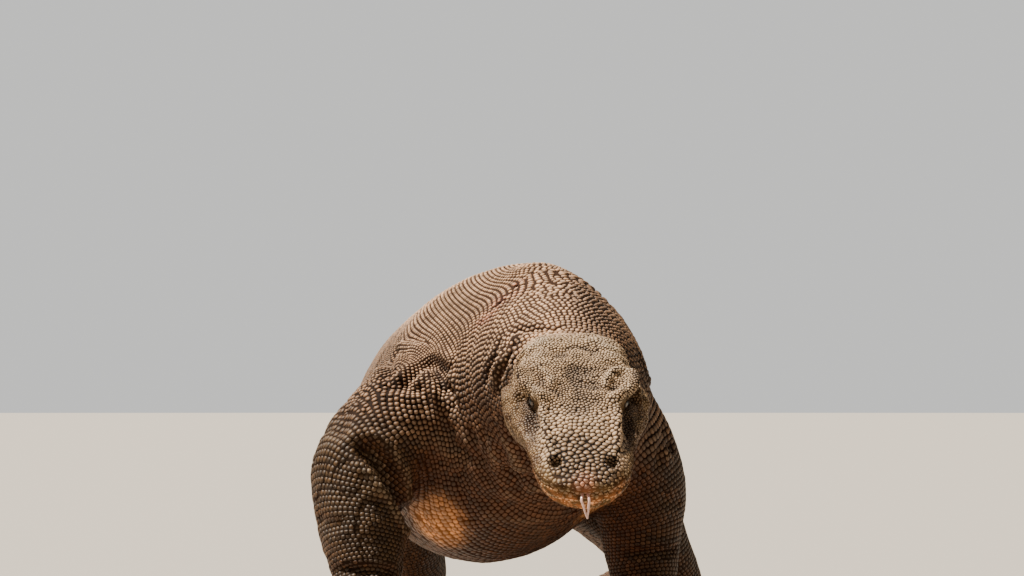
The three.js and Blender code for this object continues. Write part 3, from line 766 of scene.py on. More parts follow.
@dataclass
class Hide:
    """The skin under the scales, in three stretches: trunk with limbs, head, and the four feet."""

    rig: Rig
    trunk_cell: float = 4.8
    head_cell: float = 2.1
    foot_cell: float = 2.6
    coat_depth: float = 1.2
    foot_depth: float = 0.7
    head_depth: float = 0.8
    facets: float = 0.9
    spread: dict[str, float] = field(default_factory=lambda: {
        "chest": 1300.0, "belly": 1500.0, "pelvis": 1300.0, "neck": 900.0,
        "tail_root": 900.0, "tail_middle": 500.0, "tail_end": 260.0, "tail_tip": 120.0,
        "upper_arm": 600.0, "thigh": 600.0, "forearm": 360.0, "shin": 360.0,
        "hand": 26.0, "foot": 26.0, "head": 50.0, "lower_jaw": 50.0,
    })
    mouth: tuple[tuple[float, float], ...] = ((62, -1), (100, -4), (150, -3), (200, -3), (260, -2))
    lids: Eyelids = field(default_factory=Eyelids)

    def __post_init__(self) -> None:
        """Gathers the solids' faces, to tell which node a place belongs to, and lays the body's folds."""
        points, faces, self.owner = solids(FLESH)
        self.tree = BVHTree.FromPolygons(points, faces)
        self.body_folds = [fold.laid(self.onto_body) for fold in BODY_FOLDS]

    def onto_body(self, points: Array) -> Array:
        """Points of the body's frame moved onto the solids."""
        places = self.rig.place(points)
        return self.rig.body(np.array([tuple(self.tree.find_nearest(Vector(place))[0]) for place in places]))

    def labels(self, places: Array) -> Array:
        """The number of the nearest node of flesh for each place."""
        return np.array([self.owner[self.tree.find_nearest(Vector(place))[2]] for place in places])

    def cuffs(self, places: Array) -> Array:
        """How far, in millimetres, places lie past the wrist or ankle of the limb nearest to them.

        Args:
            places: Rows of places in metres.

        Returns:
            One distance for each place, at most 190.
        """
        points = self.rig.body(places)
        best = np.full(len(points), np.inf)
        past = np.full(len(points), -1000.0)
        for path in self.rig.limbs.values():
            path = np.array(path, float)
            below = points[:, 2] - (0.35 * path[-2, 2] + 0.65 * path[-1, 2])
            away = np.hypot(points[:, 0] - path[-1, 0], points[:, 1] - path[-1, 1])
            near = (away < best) & (away < 190.0)
            past[near] = -below[near]
            best[near] = away[near]
        return past

    def relief(self, places: Array, labels: Array) -> Array:
        """The folds, swellings and wrinkles of the hide.

        Args:
            places: Places on the hide in metres.
            labels: The node number of each of them.

        Returns:
            How far each place moves outwards, in millimetres.
        """
        points = self.rig.body(places)
        head = self.rig.head(places)
        offset = sum(fold.offset(points, self.rig) for fold in self.body_folds)
        on_head = labels < len(HEAD_PARTS)
        face = sum(fold.offset(head, self.rig) for fold in HEAD_FOLDS)
        face = face + sum(swelling.offset(head) for swelling in HEAD_SWELLINGS) + self.lips(head)
        offset = np.where(on_head, face, offset)
        feet = np.isin(labels, [FLESH.index(name) for name in FLESH if name.startswith(("hand", "foot"))])
        slack = np.where(on_head, 0.25, np.where(feet, 0.15, 1.0))
        sag = 1.1 * noise(points, 46.0, 1) + 0.8 * noise(points * (1.0, 2.2, 1.0), 20.0, 2)
        throat = ramp(320, 250, points[:, 2]) * ramp(60, -40, points[:, 1])
        loose = 1.3 * noise(points * (0.8, 1.0, 2.4), 26.0, 8) - 2.0 * creased(points, 34.0, 35)
        sag = slack * (sag + throat * loose)
        forehead = on_head * ramp(24, 32, head[:, 2]) * ramp(120, 88, head[:, 0])
        wide = head * (1.0, 0.7, 1.0)
        sag = sag + forehead * (3.0 * noise(wide, 13.0, 31) - 1.7 * creased(wide, 26.0, 34))
        cheek = on_head * ramp(36, 50, np.abs(head[:, 1])) * ramp(26, 14, head[:, 2])
        sag = sag + cheek * (1.0 * noise(head * (0.6, 1.0, 1.0), 14.0, 33) - 1.0 * creased(head, 24.0, 36))
        regained = np.where(on_head | feet, 0.0, self.facets)
        return offset + sag + regained

    def mouth_level(self, head: Array) -> Array:
        """How high the closed mouth runs at each point's length along the head."""
        return np.interp(head[:, 0], *np.array(self.mouth).T)

    def lips(self, head: Array) -> Array:
        """The closed mouth's groove with the lips rolled on both sides of it.

        Args:
            head: Points of the head's frame.

        Returns:
            How far the hide moves outwards there, in millimetres.
        """
        corner = self.mouth[0][0]
        inside = ramp(corner - 2.0, corner + 12.0, head[:, 0])
        off = head[:, 2] - self.mouth_level(head)
        rolls = 0.9 * np.exp(-(((np.abs(off) - 5.0) / 3.0) ** 2))
        return inside * (rolls - 1.3 * np.exp(-((off / 1.7) ** 2)))

    def shaped(self, names: tuple[str, ...], cell: float, depth: float) -> Surface:
        """A stretch of skin, smoothed, sculpted and set in by the coat's depth.

        Args:
            names: The solids it goes round.
            cell: Size of its faces in millimetres.
            depth: The coat's depth in millimetres.

        Returns:
            The skin.
        """
        surface = remeshed(names, cell * MM)
        labels = self.labels(surface.points)
        kinds = [name if name in self.spread else name.rsplit("_", 1)[0] for name in FLESH]
        spreads = np.array([self.spread.get(kind, 0.0) for kind in kinds])
        passes = spreads[labels] / cell**2
        for _ in range(int(60.0 / cell)):
            passes = surface.neighbours(passes)
        surface.smooth(passes)
        normals = surface.normals()
        surface.points += MM * (self.relief(surface.points, labels) - depth)[:, None] * normals
        return surface

    def opened(self, surface: Surface) -> None:
        """Presses the skin in behind the opening of the lids.

        Args:
            surface: The head's skin, which is changed.
        """
        head = self.rig.head(surface.points)
        for side in (-1.0, 1.0):
            centre = np.array(self.rig.eye) * (1.0, side, 1.0)
            away, off, turn = self.lids.polar(head, side, centre)
            edge = self.lids.edge(turn)
            inner = 1.0 - ramp(edge + 0.1, edge + 0.75, off)
            inner *= 1.0 - ramp(self.lids.ball + 6.0, self.lids.ball + 12.0, away)
            wanted = np.minimum(away, self.lids.ball - 2.2)
            head = centre + (head - centre) * ((1 - inner) + inner * wanted / away)[:, None]
        surface.points = self.rig.from_head(head)

    def stretches(self) -> dict[str, Surface]:
        """Makes the three kinds of stretch, which overlap a little under the scales.

        Returns:
            The trunk, the head and the feet.
        """
        trunk = self.shaped(FLESH, self.trunk_cell, self.coat_depth)
        trunk.keep(~self.rig.ahead(trunk.points, -46.0) & (self.cuffs(trunk.points) < 4.0))
        head = self.shaped(HEAD_PARTS + ("neck",) + EYES, self.head_cell, self.head_depth)
        self.opened(head)
        head.keep(self.rig.head(head.points)[:, 0] > -60.0)
        feet = []
        for side in SIDES:
            for parts in LIMB_PARTS.values():
                names = tuple(f"{part}_{side}" for part in parts[1:])
                foot = self.shaped(names, self.foot_cell, self.foot_depth)
                foot.keep(self.cuffs(foot.points) > -6.0)
                feet.append(foot)
        return {"trunk": trunk, "head": head, "feet": joined(feet)}

    def lid_rings(self) -> tuple[Array, Array]:
        """Both eyes' lids, as places in metres and faces.

        Returns:
            The points and the faces.
        """
        parts = []
        for side in (-1.0, 1.0):
            ring, quads = self.lids.rings_of(side, np.array(self.rig.eye) * (1.0, side, 1.0))
            parts.append((self.rig.from_head(ring), quads))
        return merged(parts)

    def built(self, stretches: dict[str, Surface], lid_rings: tuple[Array, Array]) -> Piece:
        """One skin in place of all the nodes of flesh.

        Args:
            stretches: The skin's stretches.
            lid_rings: The lids' points and faces.

        Returns:
            The skin.
        """
        parts = [(surface.points, surface.quads) for surface in stretches.values()]
        skin = mesh_object("skin", *merged(parts + [lid_rings]))
        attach(skin, BODY)
        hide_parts(*FLESH)
        return skin


def joined(surfaces: list[Surface]) -> Surface:
    """Several surfaces as one, without welding them.

    Args:
        surfaces: The surfaces, of which the first is changed.

    Returns:
        The whole.
    """
    whole = surfaces[0]
    whole.points, whole.quads = merged([(surface.points, surface.quads) for surface in surfaces])
    whole.find_edges()
    return whole


# ---- where the scales grow ----


@dataclass
class Roots:
    """Where scales grow: places, outward directions, the lie of the coat, each scale's room in metres, and
    how much it belongs to a cord, from 0 to 1."""

    places: Array
    normals: Array
    lies: Array
    room: Array
    rope: Array

    def chosen(self, which: Array) -> "Roots":
        """Some of the roots, in the order given."""
        return Roots(*(getattr(self, part.name)[which] for part in fields(self)))

    def with_others(self, others: "Roots") -> "Roots":
        """These roots followed by others."""
        names = [part.name for part in fields(self)]
        return Roots(*(np.concatenate((getattr(self, name), getattr(others, name))) for name in names))


def spaced(roots: Roots, share: float, taken: Roots | None = None) -> Roots:
    """Keeps roots in their order, leaving out each that stands too close to one kept before it.

    Args:
        roots: The roots to choose from.
        share: The closest that two may stand, as a share of their room.
        taken: Roots that are kept already.

    Returns:
        The new roots that were kept.
    """
    cell = float(max(roots.room.max(), taken.room.max() if taken is not None else 0.0)) * share
    grid: dict[tuple[int, int, int], list[tuple[float, float, float, float]]] = {}
    around = [(i, j, k) for i in (-1, 0, 1) for j in (-1, 0, 1) for k in (-1, 0, 1)]

    def listed(some: Roots) -> zip:
        """The cell of the grid, the place and the room of each root."""
        keys = np.floor(some.places / cell).astype(int).tolist()
        return zip(map(tuple, keys), some.places.tolist(), some.room.tolist())

    for key, place, room in listed(taken) if taken is not None else ():
        grid.setdefault(key, []).append((*place, room))
    kept = []
    for number, (key, (x, y, z), room) in enumerate(listed(roots)):
        clear = True
        for i, j, k in around:
            for a, b, c, other in grid.get((key[0] + i, key[1] + j, key[2] + k), ()):
                least = share * 0.5 * (room + other)
                if (x - a) ** 2 + (y - b) ** 2 + (z - c) ** 2 < least * least:
                    clear = False
                    break
            if not clear:
                break
        if clear:
            grid.setdefault(key, []).append((x, y, z, room))
            kept.append(number)
    return roots.chosen(np.array(kept, int))


@dataclass
class Rows:
    """Rings of scales round the trunk and the limbs, one row's room apart. Rooms are in metres."""

    surface: Surface
    lies: Array
    room: Array
    row_room: Array

    def counted(self, start: Array, rounds: int = 420) -> Array:
        """The row number at each point, growing by one over each row's room along the lie.

        Args:
            start: A first guess.
            rounds: How many steps of conjugate gradients are taken.

        Returns:
            One number for each point of the skin.
        """
        a, b = self.surface.edges.T
        n = len(self.surface.points)
        lie = 0.5 * (self.lies[a] + self.lies[b])
        step = ((self.surface.points[b] - self.surface.points[a]) * lie).sum(1)
        step /= 0.5 * (self.row_room[a] + self.row_room[b])
        wanted = np.bincount(b, step, n) - np.bincount(a, step, n)
        degree = self.surface.degree

        def spread(x: Array) -> Array:
            """The skin's graph Laplacian."""
            return degree * x - np.bincount(a, x[b], n) - np.bincount(b, x[a], n)

        x = start.copy()
        left = wanted - spread(x)
        scaled = left / degree
        go = scaled.copy()
        size = left @ scaled
        for _ in range(rounds):
            moved = spread(go)
            rate = size / max(go @ moved, 1e-30)
            x += rate * go
            left -= rate * moved
            scaled = left / degree
            last, size = size, left @ scaled
            go = scaled + size / last * go
        return x

    def chains(self, rows: Array) -> list[tuple[int, Array, bool]]:
        """Follows each whole row number round the skin.

        Args:
            rows: The row number at each point.

        Returns:
            For each run of a row its number, the values along it and whether it closes.
        """
        quads = self.surface.quads
        corners = np.concatenate((quads[:, (0, 1, 2)], quads[:, (0, 2, 3)]))
        data = np.column_stack((self.surface.points, self.surface.normals(), self.lies, self.room))
        level_of = rows[corners]
        low = np.ceil(level_of.min(1)).astype(int)
        high = np.ceil(level_of.max(1)).astype(int)
        segments: list[list[int]] = []
        found: dict[tuple[int, int, int], int] = {}
        for shift in range(int((high - low).max())):
            hit = low + shift < high
            tri, level = corners[hit], low[hit] + shift
            above = rows[tri] >= level[:, None]
            ends = []
            for i, j in ((0, 1), (1, 2), (2, 0)):
                crosses = above[:, i] != above[:, j]
                p, q = np.minimum(tri[:, i], tri[:, j]), np.maximum(tri[:, i], tri[:, j])
                ends.append((crosses, p, q))
            for k in range(len(tri)):
                pair = [(int(level[k]), int(p[k]), int(q[k])) for crosses, p, q in ends if crosses[k]]
                if len(pair) == 2:
                    segments.append([found.setdefault(key, len(found)) for key in pair])
        keys = np.array(list(found))
        part = (keys[:, 0] - rows[keys[:, 1]]) / (rows[keys[:, 2]] - rows[keys[:, 1]])
        values = data[keys[:, 1]] + part[:, None] * (data[keys[:, 2]] - data[keys[:, 1]])
        links: list[list[int]] = [[] for _ in range(len(keys))]
        for p, q in segments:
            links[p].append(q)
            links[q].append(p)
        seen = np.zeros(len(keys), bool)
        chains = []
        starts = [k for k in range(len(keys)) if len(links[k]) == 1] + list(range(len(keys)))
        for first in starts:
            if seen[first]:
                continue
            run, here, last = [first], first, -1
            seen[first] = True
            while True:
                onward = [k for k in links[here] if k != last and not seen[k]]
                if not onward:
                    break
                last, here = here, onward[0]
                seen[here] = True
                run.append(here)
            closed = len(run) > 8 and first in links[here]
            chains.append((int(keys[first][0]), values[run], closed))
        return chains

    def roots(self, rows: Array) -> Roots:
        """Places scales along each row, starting at its highest place, every other row half a scale on.

        Args:
            rows: The row number at each point.

        Returns:
            The roots, not yet thinned.
        """
        made = []
        for number, values, closed in self.chains(rows):
            top = int(values[:, 2].argmax())
            if closed:
                values = np.concatenate((np.roll(values, -top, axis=0), values[top:top + 1]))
                top = 0
            steps = np.linalg.norm(np.diff(values[:, :3], axis=0), axis=1)
            room = 0.5 * (values[1:, 9] + values[:-1, 9])
            count = np.concatenate(((0.0,), np.cumsum(steps / room)))
            phase = 0.5 * (number % 2)
            if closed:
                total = max(round(count[-1]), 3)
                at = (np.arange(total) + phase) * count[-1] / total
            else:
                mark = count[top]
                at = np.arange(math.ceil(-mark - phase), count[-1] - mark - phase) + mark + phase
            if len(at):
                made.append(np.column_stack([np.interp(at, count, column) for column in values.T]))
        values = np.concatenate(made)
        places, normals, lies = values[:, :3], values[:, 3:6], values[:, 6:9]
        return Roots(places, unit(normals), unit(lies), values[:, 9], np.ones(len(values)))


def strewn(points: Array, faces: Array, lies: Array, room: Array, density: float, seed: int) -> Roots:
    """Seeded random places over a skin.

    Args:
        points: The skin's points.
        faces: Its four-sided faces.
        lies: The lie of the coat at each point.
        room: Each scale's room in metres at each point.
        density: How many places there are for each scale's room.
        seed: The seed of the draw.

    Returns:
        The roots, in random order.
    """
    rng = np.random.default_rng(seed)
    p = points[faces]
    area = 0.5 * np.linalg.norm(np.cross(p[:, 2] - p[:, 0], p[:, 3] - p[:, 1]), axis=1)
    weight = area / room[faces].mean(1) ** 2
    which = rng.choice(len(faces), int(weight.sum() * density), p=weight / weight.sum())
    s, t = rng.random((2, len(which)))
    shares = np.column_stack(((1 - s) * (1 - t), s * (1 - t), s * t, (1 - s) * t))

    def mixed(values: Array) -> Array:
        """Values between a face's corners."""
        return (values[faces[which]] * (shares[:, :, None] if values.ndim > 1 else shares)).sum(1)

    normals = vertex_normals(points, faces)
    return Roots(mixed(points), unit(mixed(normals)), unit(mixed(lies)), mixed(room), np.zeros(len(which)))


def settled(roots: Roots, crowd: Roots, rounds: int) -> Roots:
    """Evens out roots by moving each to the middle of the places nearest to it.

    Args:
        roots: The roots to even out.
        crowd: Many places over the same skin.
        rounds: How many times they move.

    Returns:
        The moved roots.
    """
    for _ in range(rounds):
        tree = tree_of(roots.places)
        nearest = np.array([tree.find(place)[1] for place in crowd.places.tolist()])
        weight = np.bincount(nearest, minlength=len(roots.places))
        has = weight > 0
        for name in ("places", "normals", "lies"):
            values, source = getattr(roots, name), getattr(crowd, name)
            mean = np.column_stack([np.bincount(nearest, source[:, k], len(values)) for k in range(3)])
            values[has] = mean[has] / weight[has, None]
        roots.normals, roots.lies = unit(roots.normals), unit(roots.lies)
    return roots


# ---- the scales' own shape ----


@dataclass(frozen=True)
class ScaleShape:
    """How a scale swells from its root: a rim under the skin, a shoulder and an apex.

    Gaps are shares of a scale's room, except gap and sunk, which are in metres. Heights are shares of
    the scale's own height.
    """

    sides: int = 8
    near: int = 12
    gap: float = 0.00012
    row_gap: float = 0.045
    rope_gap: float = 0.09
    bead_gap: float = 0.16
    ragged: float = 0.08
    cap: float = 0.80
    sunk: float = 0.0006
    shoulder: float = 0.84
    shoulder_height: float = 0.70
    lean: float = 0.10
    least: float = 0.28
    beaded: float = 0.10
    beaded_crown: float = 0.05

    def outlines(self, roots: Roots, bare: Array) -> tuple[Array, Array, Array, Array]:
        """How far each scale reaches in each direction before it meets its neighbours.

        Args:
            roots: All roots of the coat.
            bare: The share of its room that each scale leaves bare all round.

        Returns:
            The directions along and across each scale, the reach in each direction, and the skin's bend.
        """
        along = unit(roots.lies - (roots.lies * roots.normals).sum(1)[:, None] * roots.normals)
        across = np.cross(roots.normals, along)
        tree = tree_of(roots.places)
        near = np.array([[found[1] for found in tree.find_n(place, self.near + 1)[1:]]
                         for place in roots.places.tolist()])
        away = roots.places[near] - roots.places[:, None]
        x = np.einsum("ijk,ik->ij", away, along)
        y = np.einsum("ijk,ik->ij", away, across)
        z = np.einsum("ijk,ik->ij", away, roots.normals)
        apart = x**2 + y**2
        bend = (z * apart).sum(1) / (apart**2).sum(1).clip(1e-18)
        facing = np.einsum("ijk,ik->ij", roots.normals[near], roots.normals) > 0.2
        turns = np.arange(self.sides) * 2 * math.pi / self.sides
        reach = np.tile(self.cap * roots.room[:, None], (1, self.sides))
        share = roots.room[:, None] / (roots.room[:, None] + roots.room[near]).clip(1e-6)
        for k, turn in enumerate(turns):
            toward = x * math.cos(turn) + y * math.sin(turn)
            limit = np.where((toward > 1e-5) & facing, share * apart / toward.clip(1e-5), 1.0)
            reach[:, k] = np.minimum(reach[:, k], limit.min(1))
        apart_rows = (self.row_gap + self.rope_gap * roots.rope) * roots.room
        between = self.gap + apart_rows[:, None] * np.abs(np.cos(turns))[None] ** 1.5
        beads = self.bead_gap * roots.rope * roots.room
        between = between + beads[:, None] * np.abs(np.sin(turns))[None] ** 3
        worn = self.ragged * roots.rope * np.random.default_rng(17).random(len(roots.places))
        between = between + ((bare + worn) * roots.room)[:, None]
        reach = np.maximum(reach - between, self.least * roots.room[:, None])
        return along, across, reach, bend

    def built(self, roots: Roots, height: Array, flat: Array, frames: tuple[Array, ...],
              which: Array) -> tuple[Array, Array, Array, Array]:
        """The domes of some scales as one mesh.

        Args:
            roots: All roots of the coat.
            height: Each scale's height.
            flat: How much of a flat plate each scale is, from 0 for a dome to 1.
            frames: What outlines gives.
            which: The numbers of the scales to build.

        Returns:
            The points, the triangles, how near each point is to its scale's crown, and where each point
            lies on a disc about its root.
        """
        along, across, reach, bend = (values[which] for values in frames)
        place, normal, tall = roots.places[which], roots.normals[which], height[which]
        plate = flat[which][:, None]
        turns = np.arange(self.sides) * 2 * math.pi / self.sides
        bow = roots.rope[which][:, None]
        rowwise = np.abs(np.sin(turns))[None] ** 3
        low = self.beaded * bow * rowwise
        points, crowns, discs = [], [], []
        round_share = 0.25 * (1.0 - 0.8 * plate)
        mean_reach = reach.mean(1, keepdims=True).clip(None, reach * 1.15)
        rounding = (1.0 - round_share) * reach + round_share * mean_reach
        inner = self.shoulder + (0.95 - self.shoulder) * plate
        raised = self.shoulder_height + (0.92 - self.shoulder_height) * plate
        rim = (np.ones_like(inner), low * tall[:, None] - (1.0 - low) * self.sunk, 0.0,
               self.beaded_crown * bow * rowwise)
        shoulder = (inner, tall[:, None] * raised, self.lean * tall[:, None], 0.6 + 0.3 * plate)
        for share, up, lean, crown in (rim, shoulder):
            x = rounding * share * np.cos(turns) + lean
            y = rounding * share * np.sin(turns)
            z = bend[:, None] * (x**2 + y**2) + up
            points.append(place[:, None] + x[..., None] * along[:, None] + y[..., None] * across[:, None]
                          + z[..., None] * normal[:, None])
            crowns.append(np.broadcast_to(crown, x.shape))
            discs.append(np.stack((np.cos(turns), np.sin(turns)), 1)[None] * share[..., None])
        apex = place + tall[:, None] * normal + (2 * self.lean * tall)[:, None] * along
        points = np.concatenate((points[0], points[1], apex[:, None]), 1)
        crowns = np.concatenate((crowns[0], crowns[1], np.ones((len(which), 1))), 1)
        discs = np.concatenate((discs[0], discs[1], np.zeros((len(which), 1, 2))), 1)
        n = self.sides
        one = []
        for k in range(n):
            m = (k + 1) % n
            one += [(k, m, n + m), (k, n + m, n + k), (n + k, n + m, 2 * n)]
        faces = np.array(one)[None] + (np.arange(len(which)) * (2 * n + 1))[:, None, None]
        return points.reshape(-1, 3), faces.reshape(-1, 3), crowns.ravel(), discs.reshape(-1, 2)


# ---- markings ----


@dataclass(frozen=True)
class Markings:
    """Where each of the hide's tones shows, the same for the skin and for the scales on it; several tones
    paint light and shade.
    """

    # These two place painted shade in the loreal hollow before each eye and in the socket round it.
    lores: Swelling = Swelling((104, 48, 14), (28, 9, 11), 1.0)
    pocket: Swelling = Swelling((84, 48, 20), (13, 9, 10), 1.0)
    nose: Swelling = Swelling((221, 0, 5.5), (16, 9, 7.5), 1.0)
    scuffed: Fold = Fold(((-34, -96, 350), (-18, -93, 386), (3, -86, 409), (10, -60, 424)), 20.0, -1.0, 0.0)

    def masks(self, places: Array, normals: Array, hide: Hide) -> dict[str, Array]:
        """The strength of each tone, painted light and shade among them.

        Args:
            places: Places on the hide in metres.
            normals: The outward directions there.
            hide: Finds the parts of the body and its folds.

        Returns:
            A number from 0 to 1 at each place, for each tone.
        """
        rig = hide.rig
        points, head = rig.body(places), rig.head(places)
        relief = hide.relief(places, hide.labels(places))
        x, y, z = points.T
        u, v, w = head[:, 0], np.abs(head[:, 1]), head[:, 2]
        on_head = ramp(-66, 4, u) * ramp(-75, -60, w) * ramp(95, 80, v)
        patches = noise(points, 60.0, 11, 3)
        specks = noise(points, 14.0, 12, 2)
        # Paler on upward faces high on the body: real dusting with painted top light.
        dust = ramp(-0.15, 0.75, normals[:, 2] + 0.12 * patches) * ramp(180, 330, z)
        flank = np.abs(x + 20.0)
        # Weaker on the far flanks, which paints them darker as shade.
        dust *= 1.0 - 0.75 * ramp(70, 116, flank) * ramp(800, 560, y)
        low = ramp(60, -20, z)
        # Down-facing hide: painted underside shade in the dark and russet tones.
        under = ramp(0.25, -0.55, normals[:, 2])
        front = ramp(140, 10, y)
        chest = front * ramp(300, 180, z) * ramp(150, 90, np.abs(x - 20))
        level = hide.mouth_level(head)
        mouth = ramp(52, 70, u) * on_head
        lip = mouth * ramp(17, 9, w - level + 3.0 * specks)
        lip *= ramp(100, 136, u + 10.0 * specks)
        cheek = on_head * ramp(-20, 20, u) * ramp(24, 12, w) * ramp(36, 50, v)
        lip = np.maximum(lip, 0.85 * cheek)
        snout = ramp(128, 166, u + 14.0 * specks - 0.35 * v)
        soot = on_head * snout * ramp(4, 11, w + 4.0 * specks) * ramp(40, 30, v)
        soot *= 1.0 - 0.75 * ramp(212, 220, u)
        # Darker cheeks and lips, and painted shade in the loreal hollow and the eye socket.
        soot = soot + 0.28 * cheek + 0.22 * lip + 0.75 * self.lores.offset(head) * on_head
        soot = soot + 0.5 * self.pocket.offset(head) * on_head
        blush = on_head * self.nose.offset(head)
        blush = blush + 0.85 * self.scuffed.offset(points, rig) * ramp(-0.6, 0.5, specks)
        chin = on_head * ramp(130, 190, u) * ramp(6, -9, w - level + 6.0 * specks)
        streak = on_head * np.exp(-(((v - (63.0 - 0.095 * u)) / 40.0) ** 2 + ((w - 3.0) / 2.8) ** 2))
        streak *= ramp(112, 124, u) * ramp(170, 150, u) * ramp(0.0, 0.5, specks)
        # Paler on raised relief, most on the head: painted highlight on ridges.
        ridge = 0.2 * ramp(1.2, 5.0, relief)
        ridge = ridge + on_head * (ramp(0.5, 3.2, relief) * (1.0 - 0.9 * cheek) - ridge)
        # Darker in sunken creases: painted shade.
        hollow = ramp(-0.8, -5.5, relief)
        hollow = hollow + on_head * (ramp(-0.4, -3.0, relief) - hollow)
        legs = rig.on_limbs(points)
        # A painted pool of warm bounce light low on each side of the chest, kept off the limbs.
        amber = np.zeros(len(points))
        for side in (-1.0, 1.0):
            away = (points - np.array((20.0 + 95.0 * side, -10.0, 160.0))) / np.array((40.0, 60.0, 38.0))
            amber = np.maximum(amber, ramp(1.25, 0.35, np.linalg.norm(away, axis=1) + 0.25 * patches))
        return {
            "dusty": dust * (1.0 - 0.55 * legs),
            # The chest's russet, with painted shade on all down-facing hide.
            "rusty": np.clip(chest * np.maximum(under, 0.6) + 0.6 * under, 0, 1) * (1 - on_head),
            "amber": amber * (1 - legs),
            # Darker limbs, with painted underside shade on down-facing hide, and darker near the floor.
            "dark": np.clip(0.9 * legs + 0.45 * low + 0.55 * under, 0, 1) * (1 - on_head),
            "face": on_head,
            "soot": np.clip(soot, 0, 1),
            "lip": lip,
            "blush": np.clip(1.3 * blush, 0, 1),
            "streak": streak,
            "chin": chin,
            "ridge": ridge,
            "hollow": hollow,
        }


class Tone(Enum):
    """The hide's tones, as linear colours; several are painted light and shade, marked below. The last four
    multiply the others.
    """

    HIDE = (0.120, 0.056, 0.021)
    # Pale tops: dusting with painted top light.
    DUSTY = (0.660, 0.405, 0.240)
    # Chest russet, also painted underside shade.
    RUSTY = (0.082, 0.027, 0.007)
    # Painted bounce light on the lower chest.
    AMBER = (0.880, 0.400, 0.150)
    # Darker limbs, also painted underside shade.
    DARK = (0.052, 0.027, 0.008)
    FACE = (0.500, 0.335, 0.190)
    # Dark snout scales, also painted shade in the eye sockets.
    SOOT = (0.085, 0.050, 0.028)
    LIP = (0.150, 0.078, 0.024)
    LIP_PALE = (0.360, 0.240, 0.110)
    BLUSH = (0.560, 0.250, 0.150)
    STREAK = (0.600, 0.480, 0.380)
    CHIN = (0.860, 0.400, 0.170)
    # Painted highlight on ridges.
    RIDGE = (0.660, 0.500, 0.330)
    # Painted shade in creases.
    HOLLOW = (0.045, 0.022, 0.012)
    # Bead crowns: dusting with a painted highlight.
    DUST = (0.560, 0.420, 0.310)
    STAIN = (0.800, 0.740, 0.680)
    WHITE = (1.0, 1.0, 1.0)
    # Gaps between scales: darker skin with painted shade.
    GROOVE = (0.060, 0.045, 0.036)
    SHALLOW = (0.500, 0.420, 0.340)


